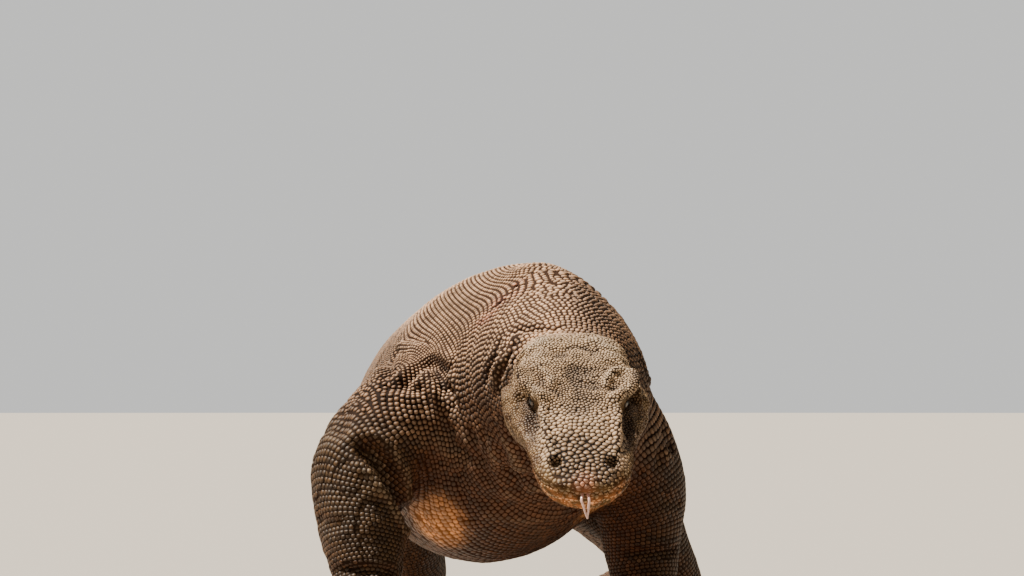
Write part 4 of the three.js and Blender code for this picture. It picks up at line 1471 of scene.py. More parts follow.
class Nodes:
    """Short ways to add and link nodes in a tree."""

    def __init__(self, tree: bpy.types.NodeTree) -> None:
        """Takes the tree to build in."""
        self.tree = tree

    def add(self, kind: str, **settings: object) -> bpy.types.Node:
        """Adds a node of a kind and sets its properties.

        Args:
            kind: Blender's name of the kind.
            settings: The properties' values by name.

        Returns:
            The node.
        """
        node = self.tree.nodes.new(kind)
        for name, value in settings.items():
            setattr(node, name, value)
        return node

    def link(self, source: Socket, target: Socket) -> None:
        """Joins an output to an input."""
        self.tree.links.new(source, target)

    def given(self, value: object) -> object:
        """A value as it is, or the attribute of a mesh that has its name."""
        return self.attribute(value) if isinstance(value, str) else value

    def feed(self, target: Socket, value: object) -> None:
        """Gives an input a number, a colour or another node's output.

        Args:
            target: The input.
            value: What it gets.
        """
        if isinstance(value, Socket):
            self.link(value, target)
        elif isinstance(value, tuple) and len(value) == 3 and target.type == "RGBA":
            target.default_value = (*value, 1.0)
        else:
            target.default_value = value

    def attribute(self, name: str) -> Socket:
        """The value of a mesh attribute."""
        return self.add("ShaderNodeAttribute", attribute_name=name).outputs["Fac"]

    def mix(self, factor: object, first: object, second: object, blend: str = "MIX") -> Socket:
        """Mixes two colours.

        Args:
            factor: The share of the second: a number, an output or an attribute's name.
            first: A colour or an output.
            second: A colour or an output.
            blend: Blender's name of the way of mixing.

        Returns:
            The mixed colour's output.
        """
        factor = self.given(factor)
        node = self.add("ShaderNodeMix", data_type="RGBA", blend_type=blend, clamp_result=True)
        self.feed(node.inputs["Factor"], factor)
        self.feed(node.inputs[6], first)
        self.feed(node.inputs[7], second)
        return node.outputs[2]

    def math(self, kind: str, *values: object) -> Socket:
        """One step of arithmetic on numbers, outputs and attributes.

        Args:
            kind: Blender's name of the step.
            values: What it works on.

        Returns:
            The result's output.
        """
        values = [self.given(value) for value in values]
        node = self.add("ShaderNodeMath", operation=kind)
        for socket, value in zip(node.inputs, values):
            self.feed(socket, value)
        return node.outputs[0]

    def noise(self, scale: float, detail: float = 3.0, rough: float = 0.55) -> Socket:
        """Noise fixed to the body, from 0 to 1.

        Args:
            scale: How many blobs there are to the metre.
            detail: How many finer layers it has.
            rough: How strong each finer layer is.

        Returns:
            The noise's output.
        """
        place = self.add("ShaderNodeNewGeometry").outputs["Position"]
        node = self.add("ShaderNodeTexNoise")
        node.inputs["Scale"].default_value = scale
        node.inputs["Detail"].default_value = detail
        node.inputs["Roughness"].default_value = rough
        self.link(place, node.inputs["Vector"])
        return node.outputs["Fac"]

    def bump(self, height: Socket, strength: float, depth: float) -> Socket:
        """Normals bent by a height that is worth a depth in metres.

        Args:
            height: The height, from 0 to 1.
            strength: The share of the bend that shows.
            depth: What a height of 1 is worth.

        Returns:
            The normals' output.
        """
        node = self.add("ShaderNodeBump")
        node.inputs["Strength"].default_value = strength
        node.inputs["Distance"].default_value = depth
        self.link(height, node.inputs["Height"])
        return node.outputs["Normal"]

    def times(self, first: object, second: object) -> Socket:
        """The product of two numbers, outputs or attributes."""
        return self.math("MULTIPLY", first, second)

    def most(self, first: object, second: object) -> Socket:
        """The larger of two numbers, outputs or attributes."""
        return self.math("MAXIMUM", first, second)

    def range(self, value: object, low: float, high: float, out_low: float, out_high: float) -> Socket:
        """A value's range mapped onto another, held at its ends.

        Args:
            value: The value.
            low: Where its range starts.
            high: Where it ends.
            out_low: The result at the start.
            out_high: The result at the end.

        Returns:
            The result's output.
        """
        value = self.given(value)
        node = self.add("ShaderNodeMapRange")
        for name, given in zip(("Value", "From Min", "From Max", "To Min", "To Max"),
                               (value, low, high, out_low, out_high)):
            self.feed(node.inputs[name], given)
        return node.outputs["Result"]


def new_material(name: str) -> tuple[bpy.types.Material, Nodes, bpy.types.Node]:
    """A new material, with its node builder and its shader.

    Args:
        name: The material's name.

    Returns:
        The three of them.
    """
    material = bpy.data.materials.new(name)
    material.use_nodes = True
    return material, Nodes(material.node_tree), material.node_tree.nodes["Principled BSDF"]


def shader_group(name: str, inputs: dict[str, tuple[str, object]], outputs: dict[str, str]
                 ) -> tuple[bpy.types.NodeTree, Nodes, bpy.types.Node, bpy.types.Node]:
    """An empty shader node group with its sockets.

    Args:
        name: The group's name.
        inputs: Each input's socket type and value at first.
        outputs: Each output's socket type.

    Returns:
        The group, its node builder, its input node and its output node.
    """
    group = bpy.data.node_groups.new(name, "ShaderNodeTree")
    for label, (kind, value) in inputs.items():
        group.interface.new_socket(label, in_out="INPUT", socket_type=kind).default_value = value
    for label, kind in outputs.items():
        group.interface.new_socket(label, in_out="OUTPUT", socket_type=kind)
    nodes = Nodes(group)
    return group, nodes, nodes.add("NodeGroupInput"), nodes.add("NodeGroupOutput")


def markings_group() -> bpy.types.NodeTree:
    """The hide's colours, for the skin and for the scales, with painted light and shade among them.

    Returns:
        A group with Crown and Tone in, Color and Gloss out.
    """
    group, nodes, given, result = shader_group(
        "hide_markings",
        {"Crown": ("NodeSocketFloat", 0.5), "Tone": ("NodeSocketFloat", 0.5)},
        {"Color": "NodeSocketColor", "Gloss": "NodeSocketFloat"},
    )
    broad = nodes.noise(9.0, 4.0, 0.6)
    fine = nodes.noise(120.0, 3.0, 0.6)
    blotch = nodes.noise(46.0, 3.0, 0.6)
    color: object = Tone.HIDE.value
    # The first four tones carry painted light: top light with the dusting, underside shade with the limbs'
    # dark and the chest's russet, and a pool of bounce light.
    for tone in (Tone.DUSTY, Tone.DARK, Tone.RUSTY, Tone.AMBER, Tone.FACE):
        color = nodes.mix(tone.name.lower(), color, tone.value)
    mottled = nodes.range(blotch, 0.42, 0.60, 0.0, 1.0)
    flecked = nodes.range(fine, 0.40, 0.56, 0.0, 1.0)
    lip = nodes.mix(mottled, Tone.LIP.value, Tone.LIP_PALE.value)
    color = nodes.mix("lip", color, lip)
    chin = nodes.attribute("chin")
    color = nodes.mix(chin, color, nodes.mix(flecked, lip, Tone.CHIN.value))
    # The dark snout fades at each scale's apex, leaving a painted glint.
    sooty = nodes.range(given.outputs["Crown"], 0.78, 1.0, 1.0, 0.30)
    color = nodes.mix(nodes.times("soot", sooty), color, Tone.SOOT.value)
    for tone in (Tone.STREAK, Tone.BLUSH):
        color = nodes.mix(tone.name.lower(), color, tone.value)
    # Painted highlight on raised ridges.
    color = nodes.mix(nodes.times("ridge", 0.65), color, Tone.RIDGE.value)
    # Painted shade in creases.
    color = nodes.mix(nodes.times("hollow", 0.72), color, Tone.HOLLOW.value)
    stained = nodes.mix(nodes.range(broad, 0.35, 0.65, 0.0, 1.0), Tone.STAIN.value, Tone.WHITE.value)
    color = nodes.mix(1.0, color, stained, "MULTIPLY")
    shade = nodes.range(given.outputs["Tone"], 0.0, 1.0, 0.55, 1.42)
    shade = nodes.times(shade, nodes.range(fine, 0.3, 0.7, 0.82, 1.15))
    grey = nodes.add("ShaderNodeCombineColor")
    for socket in grey.inputs:
        nodes.link(shade, socket)
    color = nodes.mix(1.0, color, grey.outputs["Color"], "MULTIPLY")
    # Dark gaps at each scale's foot and on bare skin: the skin's darker colour with painted shade, weaker on
    # the russet, bounce-lit, lip and dark hide.
    shallow = nodes.most("rusty", "amber")
    shallow = nodes.times(nodes.most(shallow, "lip"), 0.8)
    shallow = nodes.most(shallow, nodes.times("dark", 0.55))
    depth = nodes.mix(shallow, Tone.GROOVE.value, Tone.SHALLOW.value)
    groove = nodes.mix(1.0, color, depth, "MULTIPLY")
    color = nodes.mix(nodes.range(given.outputs["Crown"], 0.05, 0.80, 0.0, 1.0), groove, color)
    # Paler bead crowns: dusting with a painted highlight on each scale's top, least on the limbs, the dark
    # snout and the lips.
    pale = nodes.most("dusty", "face")
    pale = nodes.math("ADD", 0.35, nodes.times(pale, 0.65))
    pale = nodes.times(pale, nodes.range("dark", 0.0, 0.9, 1.0, 0.04))
    unsoiled = nodes.most("soot", "lip")
    pale = nodes.times(pale, nodes.range(unsoiled, 0.0, 1.0, 1.0, 0.25))
    dusted = nodes.times(nodes.range(given.outputs["Crown"], 0.66, 1.0, 0.0, 0.50), pale)
    color = nodes.mix(dusted, color, Tone.DUST.value)
    nodes.link(color, result.inputs["Color"])
    gloss = nodes.math("ADD", nodes.times("soot", 0.6), nodes.times("dark", 0.12))
    nodes.link(gloss, result.inputs["Gloss"])
    return group


@dataclass(frozen=True)
class HideFinish:
    """The dry surface of the skin or of its scales, with the dusting and painted light of the markings."""

    name: str
    rough: float
    shine: float
    bump: float
    grain: float
    specular: float

    def material(self, markings: bpy.types.NodeTree) -> bpy.types.Material:
        """Makes the finish.

        Args:
            markings: The hide's shared colours.

        Returns:
            The material.
        """
        material, nodes, shader = new_material(self.name)
        tones = nodes.add("ShaderNodeGroup", node_tree=markings)
        nodes.link(nodes.attribute("crown"), tones.inputs["Crown"])
        nodes.link(nodes.attribute("scale_tone"), tones.inputs["Tone"])
        nodes.link(tones.outputs["Color"], shader.inputs["Base Color"])
        shader.inputs["Specular IOR Level"].default_value = self.specular
        grain = nodes.noise(self.grain, 4.0, 0.65)
        rough = nodes.range(grain, 0.3, 0.7, self.rough - 0.08, self.rough + 0.08)
        rough = nodes.math("SUBTRACT", rough, nodes.times(tones.outputs["Gloss"], self.shine))
        nodes.link(rough, shader.inputs["Roughness"])
        nodes.link(nodes.bump(grain, self.bump, 0.0006), shader.inputs["Normal"])
        return material


# ---- the coat ----


@dataclass
class Coat:
    """The scales over the whole hide, in pieces by part of the body."""

    rig: Rig
    hide: Hide
    markings: Markings
    finish: bpy.types.Material
    shape: ScaleShape = field(default_factory=ScaleShape)
    row_apart: float = 0.66
    filler_apart: float = 0.84
    loose_apart: float = 0.77
    beside_apart: float = 0.72
    piece_limit: int = 7600
    patch: float = 0.0015
    crest: float = 40.0
    slope: float = math.radians(50.0)

    def trunk_room(self, places: Array, normals: Array) -> tuple[Array, Array]:
        """The room for each scale on the trunk, tail and limbs.

        Args:
            places: Places on the skin in metres.
            normals: The outward directions there.

        Returns:
            The room along a row and the room from row to row, in millimetres.
        """
        points = self.rig.body(places)
        x, y, z = points.T
        room = np.interp(y, (-300, -120, 20, 160, 330, 700, 1150, 1500, 1950),
                         (4.8, 6.8, 6.9, 6.7, 7.4, 7.6, 7.4, 6.4, 4.6))
        belly = ramp(0.0, -0.7, normals[:, 2]) * ramp(-150, 60, y)
        room = room * (1.0 - 0.28 * ramp(262, 205, z) * ramp(60, 0, y))
        room = room * (1.0 + 0.22 * belly)
        for path in self.rig.limbs.values():
            along, there, _ = self.rig.heading(points, path)
            away = np.linalg.norm(points - there, axis=1)
            whole = np.linalg.norm(np.diff(path, axis=0), axis=1).sum()
            near = ramp(118, 84, away) * ramp(0.02, 0.22, along / whole)
            wanted = np.interp(along / whole, (0.0, 0.3, 0.6, 0.85, 1.0), (5.7, 5.9, 5.9, 5.3, 4.5))
            room = room + near * (wanted - room)
        hump = ramp(290, 340, z) * ramp(-130, -40, y) * ramp(420, 280, y)
        across = (-70, 0, 50, 100)
        room = room * (1.0 + hump * (np.interp(x, across, (0.88, 0.92, 1.06, 1.14)) - 1.0))
        closer = 1.0 + hump * (np.interp(x, across, (0.51, 0.60, 1.06, 1.12)) - 1.0)
        pocket = np.linalg.norm(points - np.array((-92.0, -38.0, 322.0)), axis=1)
        room = room + ramp(46, 24, pocket) * (4.0 - room)
        rows = room * closer * (1.06 - 0.05 * belly - 0.24 * self.rig.on_limbs(points))
        return room, rows

    def trunk_lies(self, surface: Surface, labels: Array) -> tuple[Array, Array]:
        """The lie of the coat on the trunk stretch: tailwards, down the limbs and slanting off the hump.

        Args:
            surface: The trunk's skin.
            labels: The node number of each of its points.

        Returns:
            The lie at each point, and a first guess of the length along it in metres.
        """
        points = self.rig.body(surface.points)
        start, _, lies = self.rig.heading(points, self.rig.spine)
        normals = surface.normals()
        lies = laid(lies, normals)
        x, y, z = points.T
        side = np.clip((self.crest - x) / 45.0, -1.0, 1.0)
        flat = np.zeros(len(x))
        slant = np.column_stack((-math.sin(self.slope) * side, flat, flat - math.cos(self.slope)))
        share = ramp(-130, -40, y) * ramp(430, 230, y) * ramp(215, 275, z)
        lies = lies + share[:, None] * (slant - lies)
        lies = laid(lies, normals)
        for limb, path in self.rig.limbs.items():
            kind, side = limb.split("_")
            own = np.isin(labels, [FLESH.index(f"{part}_{side}") for part in LIMB_PARTS[kind]])
            along, _, down = self.rig.heading(points, path)
            base = self.rig.heading(np.array(path[:1], float), self.rig.spine)[0][0]
            lies = np.where(own[:, None], down, lies)
            start = np.where(own, base + along, start)
        for _ in range(26):
            lies = surface.neighbours(lies)
            lies = laid(lies, normals)
        return lies, start * MM

    def trunk_roots(self, surface: Surface) -> Roots:
        """Rings of scales over the trunk, with loose ones where the rings leave room.

        Args:
            surface: The trunk's skin.

        Returns:
            The roots.
        """
        labels = self.hide.labels(surface.points)
        lies, start = self.trunk_lies(surface, labels)
        room, row_room = self.trunk_room(surface.points, surface.normals())
        rows = Rows(surface, lies, room * MM, row_room * MM)
        number = rows.counted(start / (row_room.mean() * MM))
        roots = rows.roots(number)
        log.info("rows: %d roots before thinning", len(roots.places))
        kept = spaced(roots, self.row_apart)
        loose = strewn(surface.points, surface.quads, lies, room * MM, 2.5, 3)
        return kept.with_others(spaced(loose, self.filler_apart, kept))

    def head_room(self, places: Array) -> Array:
        """The room for each scale on the head, in millimetres.

        Args:
            places: Places on the head in metres.

        Returns:
            One width for each place.
        """
        head = self.rig.head(places)
        u, v, w = head[:, 0], np.abs(head[:, 1]), head[:, 2]
        room = np.interp(u, (-60, -20, 30, 92, 118, 145, 170, 215), (3.9, 3.5, 2.9, 3.0, 4.3, 5.4, 5.9, 4.9))
        cheek = ramp(30, 8, w) * ramp(34, 50, v)
        room = room + cheek * (3.0 - room)
        room = room + ramp(2, -16, w) * (4.2 - room) * 0.8
        eye = np.sqrt((u - 85) ** 2 + (v - 48) ** 2 + (w - 20) ** 2)
        room = room + ramp(22, 11, eye) * (2.3 - room)
        room = room * (1.0 + 0.22 * noise(head, 9.0, 51, 1) * ramp(150, 110, u))
        nostril = np.sqrt((u - 187) ** 2 + (v - 28) ** 2 + (w - 13) ** 2)
        return room + ramp(12, 5, nostril) * (2.8 - room)

    def foot_room(self, places: Array) -> Array:
        """The room for each scale on hands and feet, in millimetres.

        Args:
            places: Places on hands and feet in metres.

        Returns:
            One width for each place.
        """
        past = self.hide.cuffs(places)
        height = self.rig.body(places)[:, 2]
        return np.interp(past, (0, 30), (5.0, 4.0)) - 0.5 * ramp(30, 12, height)

    def loose_roots(self, points: Array, faces: Array, room: Array, lies: Array,
                    taken: Roots, seed: int) -> Roots:
        """Even, irregular scales over a stretch with no rings.

        Args:
            points: The stretch's points.
            faces: Its faces.
            room: Each scale's room in metres at each point.
            lies: The lie of the coat at each point.
            taken: The roots beside it.
            seed: The seed of the draw.

        Returns:
            The roots.
        """
        crowd = strewn(points, faces, lies, room, 9.0, seed)
        even = settled(spaced(crowd, self.loose_apart), crowd, 2)
        return spaced(even, self.beside_apart, taken)

    def roots(self, stretches: dict[str, Surface], lid_rings: tuple[Array, Array]) -> Roots:
        """All the coat's roots.

        Args:
            stretches: The skin's stretches.
            lid_rings: The lids' points and faces.

        Returns:
            The roots of the trunk, the head and the feet.
        """
        trunk = self.trunk_roots(stretches["trunk"])
        log.info("trunk: %d scales", len(trunk.places))
        head = stretches["head"]
        points, faces = merged([(head.points, head.quads), lid_rings])
        backwards = np.tile(-self.rig.axes[0], (len(points), 1))
        on_head = self.rig.ahead(trunk.places, -52.0)
        beside = trunk.chosen(np.nonzero(~on_head)[0])
        face = self.loose_roots(points, faces, self.head_room(points) * MM, backwards, beside, 5)
        log.info("head: %d scales", len(face.places))
        feet = stretches["feet"]
        down = np.tile((0.0, -0.9, -0.4), (len(feet.points), 1))
        toes = self.loose_roots(feet.points, feet.quads, self.foot_room(feet.points) * MM, down, beside, 6)
        ground = toes.places[:, 2] > 0.0035
        toes = toes.chosen(np.nonzero(ground)[0])
        log.info("feet: %d scales", len(toes.places))
        return beside.with_others(face).with_others(toes)

    def roped(self, places: Array) -> Array:
        """How strongly the rows stand up as cords: most on the hump and the neck's sides.

        Args:
            places: Places on the hide in metres.

        Returns:
            A share from 0 to 1 for each place.
        """
        points = self.rig.body(places)
        _, y, z = points.T
        share = ramp(-250, -190, y) * ramp(620, 260, y)
        share = share * ramp(250, 330, z)
        return np.clip(share + 0.25 * noise(points, 40.0, 41), 0.0, 1.0)

    def heights(self, roots: Roots) -> Array:
        """How tall each scale stands, in metres.

        Args:
            roots: All roots.

        Returns:
            One height for each scale.
        """
        points = self.rig.body(roots.places)
        _, y, z = points.T
        under = ramp(0.1, -0.8, roots.normals[:, 2])
        share = 0.26 - 0.15 * self.rig.on_limbs(points)
        share = share - 0.55 * share * under
        tall = roots.room * share * (1.0 + 0.12 * noise(points, 9.0, 21, 1))
        head = self.rig.head(roots.places)
        u, v, w = head.T
        snout = ramp(120, 160, u) * ramp(0, 8, w)
        near_floor = ramp(1, 12, z)
        lips = ramp(120, 155, u) * ramp(11, 4, w)
        chest = ramp(300, 230, z) * ramp(120, 20, y)
        cheek = ramp(34, 50, np.abs(v)) * ramp(26, 14, w)
        cheek = cheek * ramp(-30, 0, u)
        brow = ramp(-30, -10, u) * ramp(120, 96, u)
        by_head = ramp(self.rig.head_room, self.rig.head_room - 20.0, np.abs(v))
        cheek = cheek * by_head
        tall = tall * (1.0 - 0.3 * brow * by_head)
        tall = tall * (1.0 + 0.25 * snout - 0.75 * lips) * (1.0 - 0.55 * chest) * (1.0 - 0.5 * cheek)
        return np.minimum(tall, 0.0019) * (0.25 + 0.75 * near_floor)

    def flatness(self, roots: Roots) -> Array:
        """How much of a flat plate each scale is: most on the limbs, the chest, the lips and the snout.

        Args:
            roots: All roots.

        Returns:
            A share from 0 to 1 for each scale.
        """
        points, head = self.rig.body(roots.places), self.rig.head(roots.places)
        u, _, w = head.T
        _, y, z = points.T
        limbs = self.rig.on_limbs(points) * ramp(262, 205, z)
        chest = ramp(290, 230, z) * ramp(120, 20, y)
        lips = ramp(110, 150, u) * ramp(12, 4, w)
        snout = ramp(96, 120, u) * ramp(4, 12, w)
        return np.maximum.reduce((0.9 * limbs, 0.7 * chest, 0.8 * lips, 0.6 * snout))

    def regions(self, roots: Roots) -> dict[str, Array]:
        """Sorts the scales into pieces, none over the limit.

        Args:
            roots: All roots.

        Returns:
            The numbers of each piece's scales, by the piece's name.
        """
        labels = self.hide.labels(roots.places)
        groups = {"head": HEAD_PARTS}
        groups.update({name: (name,) for name in AXIAL})
        groups["tail_end"] = ("tail_end", "tail_tip")
        del groups["tail_tip"]
        for kind, parts in LIMB_PARTS.items():
            for side in SIDES:
                groups[f"{kind}_{side}"] = tuple(f"{part}_{side}" for part in parts)
        pieces = {}
        for group, names in groups.items():
            which = np.nonzero(np.isin(labels, [FLESH.index(name) for name in names]))[0]
            parts = max(1, math.ceil(len(which) / self.piece_limit))
            order = which[np.argsort(roots.places[which, 1 if "fore" not in group else 2], kind="stable")]
            for number, share in enumerate(np.array_split(order, parts), 1):
                pieces[f"scales_{group}" if parts == 1 else f"scales_{group}_{number}"] = share
        return pieces

    def unwrapped(self, group: str, places: Array) -> Array:
        """Each root's place on an unwrap of the part, as turns round it and length along it.

        Args:
            group: The piece's name.
            places: The roots' places.

        Returns:
            Two columns from 0 to 1.
        """
        if "head" in group:
            head = self.rig.head(places)
            around, along = np.arctan2(head[:, 1], head[:, 2] + 8.0), head[:, 0]
        else:
            points = self.rig.body(places)
            limb = next((path for name, path in self.rig.limbs.items() if name in group), self.rig.spine)
            along, there, lie = self.rig.heading(points, limb)
            away = points - there
            upward = np.array((0.0, 1.0, 0.0)) if limb is not self.rig.spine else np.array((0.0, 0.0, 1.0))
            side = np.cross(lie, upward)
            around = np.arctan2((away * side).sum(1), (away * np.cross(side, lie)).sum(1))
            if limb is not self.rig.spine:
                along = along - 0.6 * away[:, 2] * (along >= along.max() - 1.0)
        along = (along - along.min()) / max(np.ptp(along), 1e-6)
        return np.column_stack((around / (2 * math.pi) + 0.5, along)) * 0.98 + 0.01

    def build(self, roots: Roots) -> list[Piece]:
        """Makes the coat's pieces.

        Args:
            roots: Where the scales grow.

        Returns:
            The pieces.
        """
        roped = self.roped(roots.places)
        bare = 0.05 * roped * (1.0 - roots.rope)
        roots.rope = roots.rope * roped
        frames = self.shape.outlines(roots, bare)
        heights, flat = self.heights(roots), self.flatness(roots)
        masks = self.markings.masks(roots.places, roots.normals, self.hide)
        tones = np.random.default_rng(9).random(len(roots.places))
        pieces = []
        for name, which in self.regions(roots).items():
            points, faces, crowns, discs = self.shape.built(roots, heights, flat, frames, which)
            piece = mesh_object(name, points, faces)
            each = 2 * self.shape.sides + 1
            note(piece.data, {tone: np.repeat(values[which], each) for tone, values in masks.items()})
            note(piece.data, {"crown": crowns, "scale_tone": np.repeat(tones[which], each)})
            at = np.repeat(self.unwrapped(name, roots.places[which]), each, axis=0) + self.patch * discs
            loops = np.empty(len(piece.data.loops), np.int32)
            piece.data.loops.foreach_get("vertex_index", loops)
            layer = piece.data.uv_layers.new(name="OFBake")
            layer.data.foreach_set("uv", at[loops].astype(np.float32).ravel())
            piece.data.materials.append(self.finish)
            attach(piece, BODY)
            log.info("%s: %d scales, %d triangles", name, len(which), len(faces))
            pieces.append(piece)
        return pieces


# ---- eyes, tongue and claws ----


@dataclass(frozen=True)
class WetFinish:
    """A smooth moist surface whose colour runs from one value of an attribute to another."""

    name: str
    attribute: str
    stops: tuple[tuple[float, Triple], ...]
    rough: float
    coat: float
    mottle: float
    scale: float

    def material(self) -> bpy.types.Material:
        """Makes the finish.

        Returns:
            The material.
        """
        material, nodes, shader = new_material(self.name)
        value = nodes.attribute(self.attribute)
        color: object = self.stops[0][1]
        for (start, _), (stop, tone) in zip(self.stops, self.stops[1:]):
            color = nodes.mix(nodes.range(value, start, stop, 0.0, 1.0), color, tone)
        speck = nodes.noise(self.scale, 4.0, 0.6)
        dark = nodes.mix(1.0, color, (1 - self.mottle,) * 3, "MULTIPLY")
        color = nodes.mix(nodes.range(speck, 0.35, 0.65, 0.0, 1.0), dark, color)
        nodes.link(color, shader.inputs["Base Color"])
        rough = nodes.range(speck, 0.3, 0.7, self.rough * 0.8, self.rough * 1.2)
        nodes.link(rough, shader.inputs["Roughness"])
        shader.inputs["Coat Weight"].default_value = self.coat
        shader.inputs["Coat Roughness"].default_value = 0.06
        nodes.link(nodes.bump(speck, 0.25 * self.mottle, 0.0003), shader.inputs["Normal"])
        return material


EYE_FINISH = WetFinish("eye_wet", "off_axis", (
    (0.0, (0.004, 0.003, 0.003)), (0.30, (0.004, 0.003, 0.003)), (0.36, (0.090, 0.040, 0.014)),
    (0.62, (0.050, 0.024, 0.010)), (0.78, (0.030, 0.020, 0.014))), 0.30, 0.25, 0.35, 900.0)
TONGUE_FINISH = WetFinish("tongue_wet", "reach", (
    (0.0, (0.34, 0.10, 0.09)), (0.45, (0.62, 0.30, 0.24)), (1.0, (0.80, 0.50, 0.42))), 0.26, 0.6, 0.12, 420.0)
CLAW_FINISH = WetFinish("claw_horn", "reach", (
    (0.0, (0.030, 0.022, 0.017)), (0.55, (0.048, 0.036, 0.028)), (1.0, (0.110, 0.085, 0.062))),
    0.36, 0.1, 0.45, 700.0)


def settle_piece(piece: Piece, node: str, finish: bpy.types.Material) -> Piece:
    """Puts a piece in place of its solid and gives it its finish.

    Args:
        piece: The piece.
        node: The solid that it stands for.
        finish: Its material.

    Returns:
        The same piece.
    """
    piece.data.materials.append(finish)
    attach(piece, BODY)
    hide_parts(node)
    log.info("%s: %d faces", piece.name, len(piece.data.polygons))
    return piece


@dataclass
class Eyeballs:
    """Both eyes: balls with a low bulge of cornea where the lids open."""

    rig: Rig
    lids: Eyelids
    cornea: float = 0.70
    bulge: float = 0.045
    rings: int = 40
    sides: int = 64

    def eye(self, side: str, finish: bpy.types.Material) -> Piece:
        """Makes one eye.

        Args:
            side: right or left.
            finish: Its material.

        Returns:
            The eye.
        """
        low, high = (np.array(corner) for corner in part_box(f"eye_{side}"))
        centre, radius = (low + high) / 2, (high - low).min() / 2
        axes = self.lids.axes(1.0 if side == "left" else -1.0) @ self.rig.axes
        if np.linalg.det(axes) < 0:
            axes[0] = -axes[0]
        off = np.linspace(0.02, math.pi - 0.02, self.rings)
        turn = circle(self.sides)
        swell = 1.0 + self.bulge * ramp(self.cornea, 0.0, off)
        out, ahead = np.sin(off) * swell, np.cos(off) * swell
        local = np.stack((np.outer(out, np.cos(turn)), np.outer(out, np.sin(turn)),
                          np.outer(ahead, np.ones(self.sides))), 2).reshape(-1, 3)
        faces = ring_faces(self.rings, self.sides).tolist()
        last = (self.rings - 1) * self.sides
        poles = [list(range(self.sides)), list(range(last, last + self.sides))[::-1]]
        mesh = bpy.data.meshes.new(f"eyeball_{side}")
        mesh.from_pydata([tuple(p) for p in centre + radius * local @ axes], [], faces + poles)
        mesh.polygons.foreach_set("use_smooth", np.ones(len(mesh.polygons), bool))
        note(mesh, {"off_axis": np.repeat(off, self.sides)})
        return settle_piece(placed(f"eyeball_{side}", mesh), f"eye_{side}", finish)

    def build(self) -> list[Piece]:
        """Makes both eyes."""
        finish = EYE_FINISH.material()
        return [self.eye(side, finish) for side in SIDES]


@dataclass
class Tongue:
    """The forked tongue hanging over the lower lip, in millimetres of the head's frame."""

    rig: Rig
    lip: float = 223.5
    level: float = -3.0
    start: float = 188.0
    width: float = 5.2
    tine: float = 1.6
    tip: float = 0.6
    spread: float = 5.0
    drop: float = 18.0
    sides: int = 20
    steps: int = 30
    cell: float = 0.00045
    passes: float = 8.0

    def courses(self) -> list[tuple[tuple[Triple, ...], tuple[float, ...]]]:
        """The places and radii of the root and of both tines.

        Returns:
            For each, its places in the head's frame and its radii.
        """
        lip, level, half = self.lip, self.level, self.width / 2
        root = ((self.start, 0, level), (lip - 14, 0, level), (lip - 5, 0, level - 0.4))
        made = [(root, (half, half, 0.9 * half))]
        for way in (-1, 1):
            made.append(((
                (lip - 9, 0.35 * way * self.spread, level),
                (lip + 3, 0.75 * way * self.spread, level - 2.5),
                (lip + 7, 0.52 * way * self.spread + 0.6, level - 0.4 * self.drop),
                (lip + 7 + 0.22 * self.drop, 0.25 * way * self.spread + 1.4, level - 0.75 * self.drop),
                (lip + 7 + 0.4 * self.drop, way * 0.4 + 2.2, level - self.drop),
            ), (self.tine, 0.9 * self.tine, 0.8 * self.tine, 0.6 * self.tine, 0.8 * self.tip)))
        return made

    def tube(self, course: tuple, radii: tuple[float, ...]) -> tuple[Array, list[list[int]]]:
        """A closed tube along a smooth course.

        Args:
            course: The places that it passes through.
            radii: Its radius at each.

        Returns:
            The points and the faces.
        """
        knots = np.array(course, float)
        at = np.linspace(0.0, len(knots) - 1.0, self.steps)
        padded = np.vstack((2 * knots[0] - knots[1], knots, 2 * knots[-1] - knots[-2]))
        k = np.minimum(at.astype(int), len(knots) - 2)
        t = (at - k)[:, None]
        a, b, c, d = (padded[k + n] for n in range(4))
        centre = 0.5 * (2 * b + (c - a) * t + (2 * a - 5 * b + 4 * c - d) * t**2
                        + (3 * b - a - 3 * c + d) * t**3)
        radius = np.interp(at, np.arange(len(knots)), radii)
        ahead = unit(np.gradient(centre, axis=0))
        side = unit(np.cross(ahead, (0.0, 1.0, 0.0)))
        other = np.cross(ahead, side)
        turn = circle(self.sides)
        ring = side[:, None] * np.cos(turn)[None, :, None] + other[:, None] * np.sin(turn)[None, :, None]
        points = (centre[:, None] + radius[:, None, None] * ring).reshape(-1, 3)
        last = (self.steps - 1) * self.sides
        faces = ring_faces(self.steps, self.sides)[:, (0, 3, 2, 1)].tolist()
        faces += [list(range(self.sides))[::-1], list(range(last, last + self.sides))]
        return points, faces

    def build(self) -> Piece:
        """Makes the tongue in one skin.

        Returns:
            The tongue.
        """
        points, faces, count = [], [], 0
        for course, radii in self.courses():
            own, quads = self.tube(course, radii)
            points += [tuple(place) for place in self.rig.from_head(own)]
            faces += [tuple(count + v for v in face) for face in quads]
            count += len(own)
        surface = wrapped(points, faces, self.cell)
        surface.smooth(np.full(len(surface.points), self.passes))
        piece = mesh_object("forked_tongue", surface.points, surface.quads)
        reach = ramp(self.start + 20.0, self.lip + 8.0, self.rig.head(surface.points)[:, 0])
        note(piece.data, {"reach": reach})
        return settle_piece(piece, "tongue", TONGUE_FINISH.material())


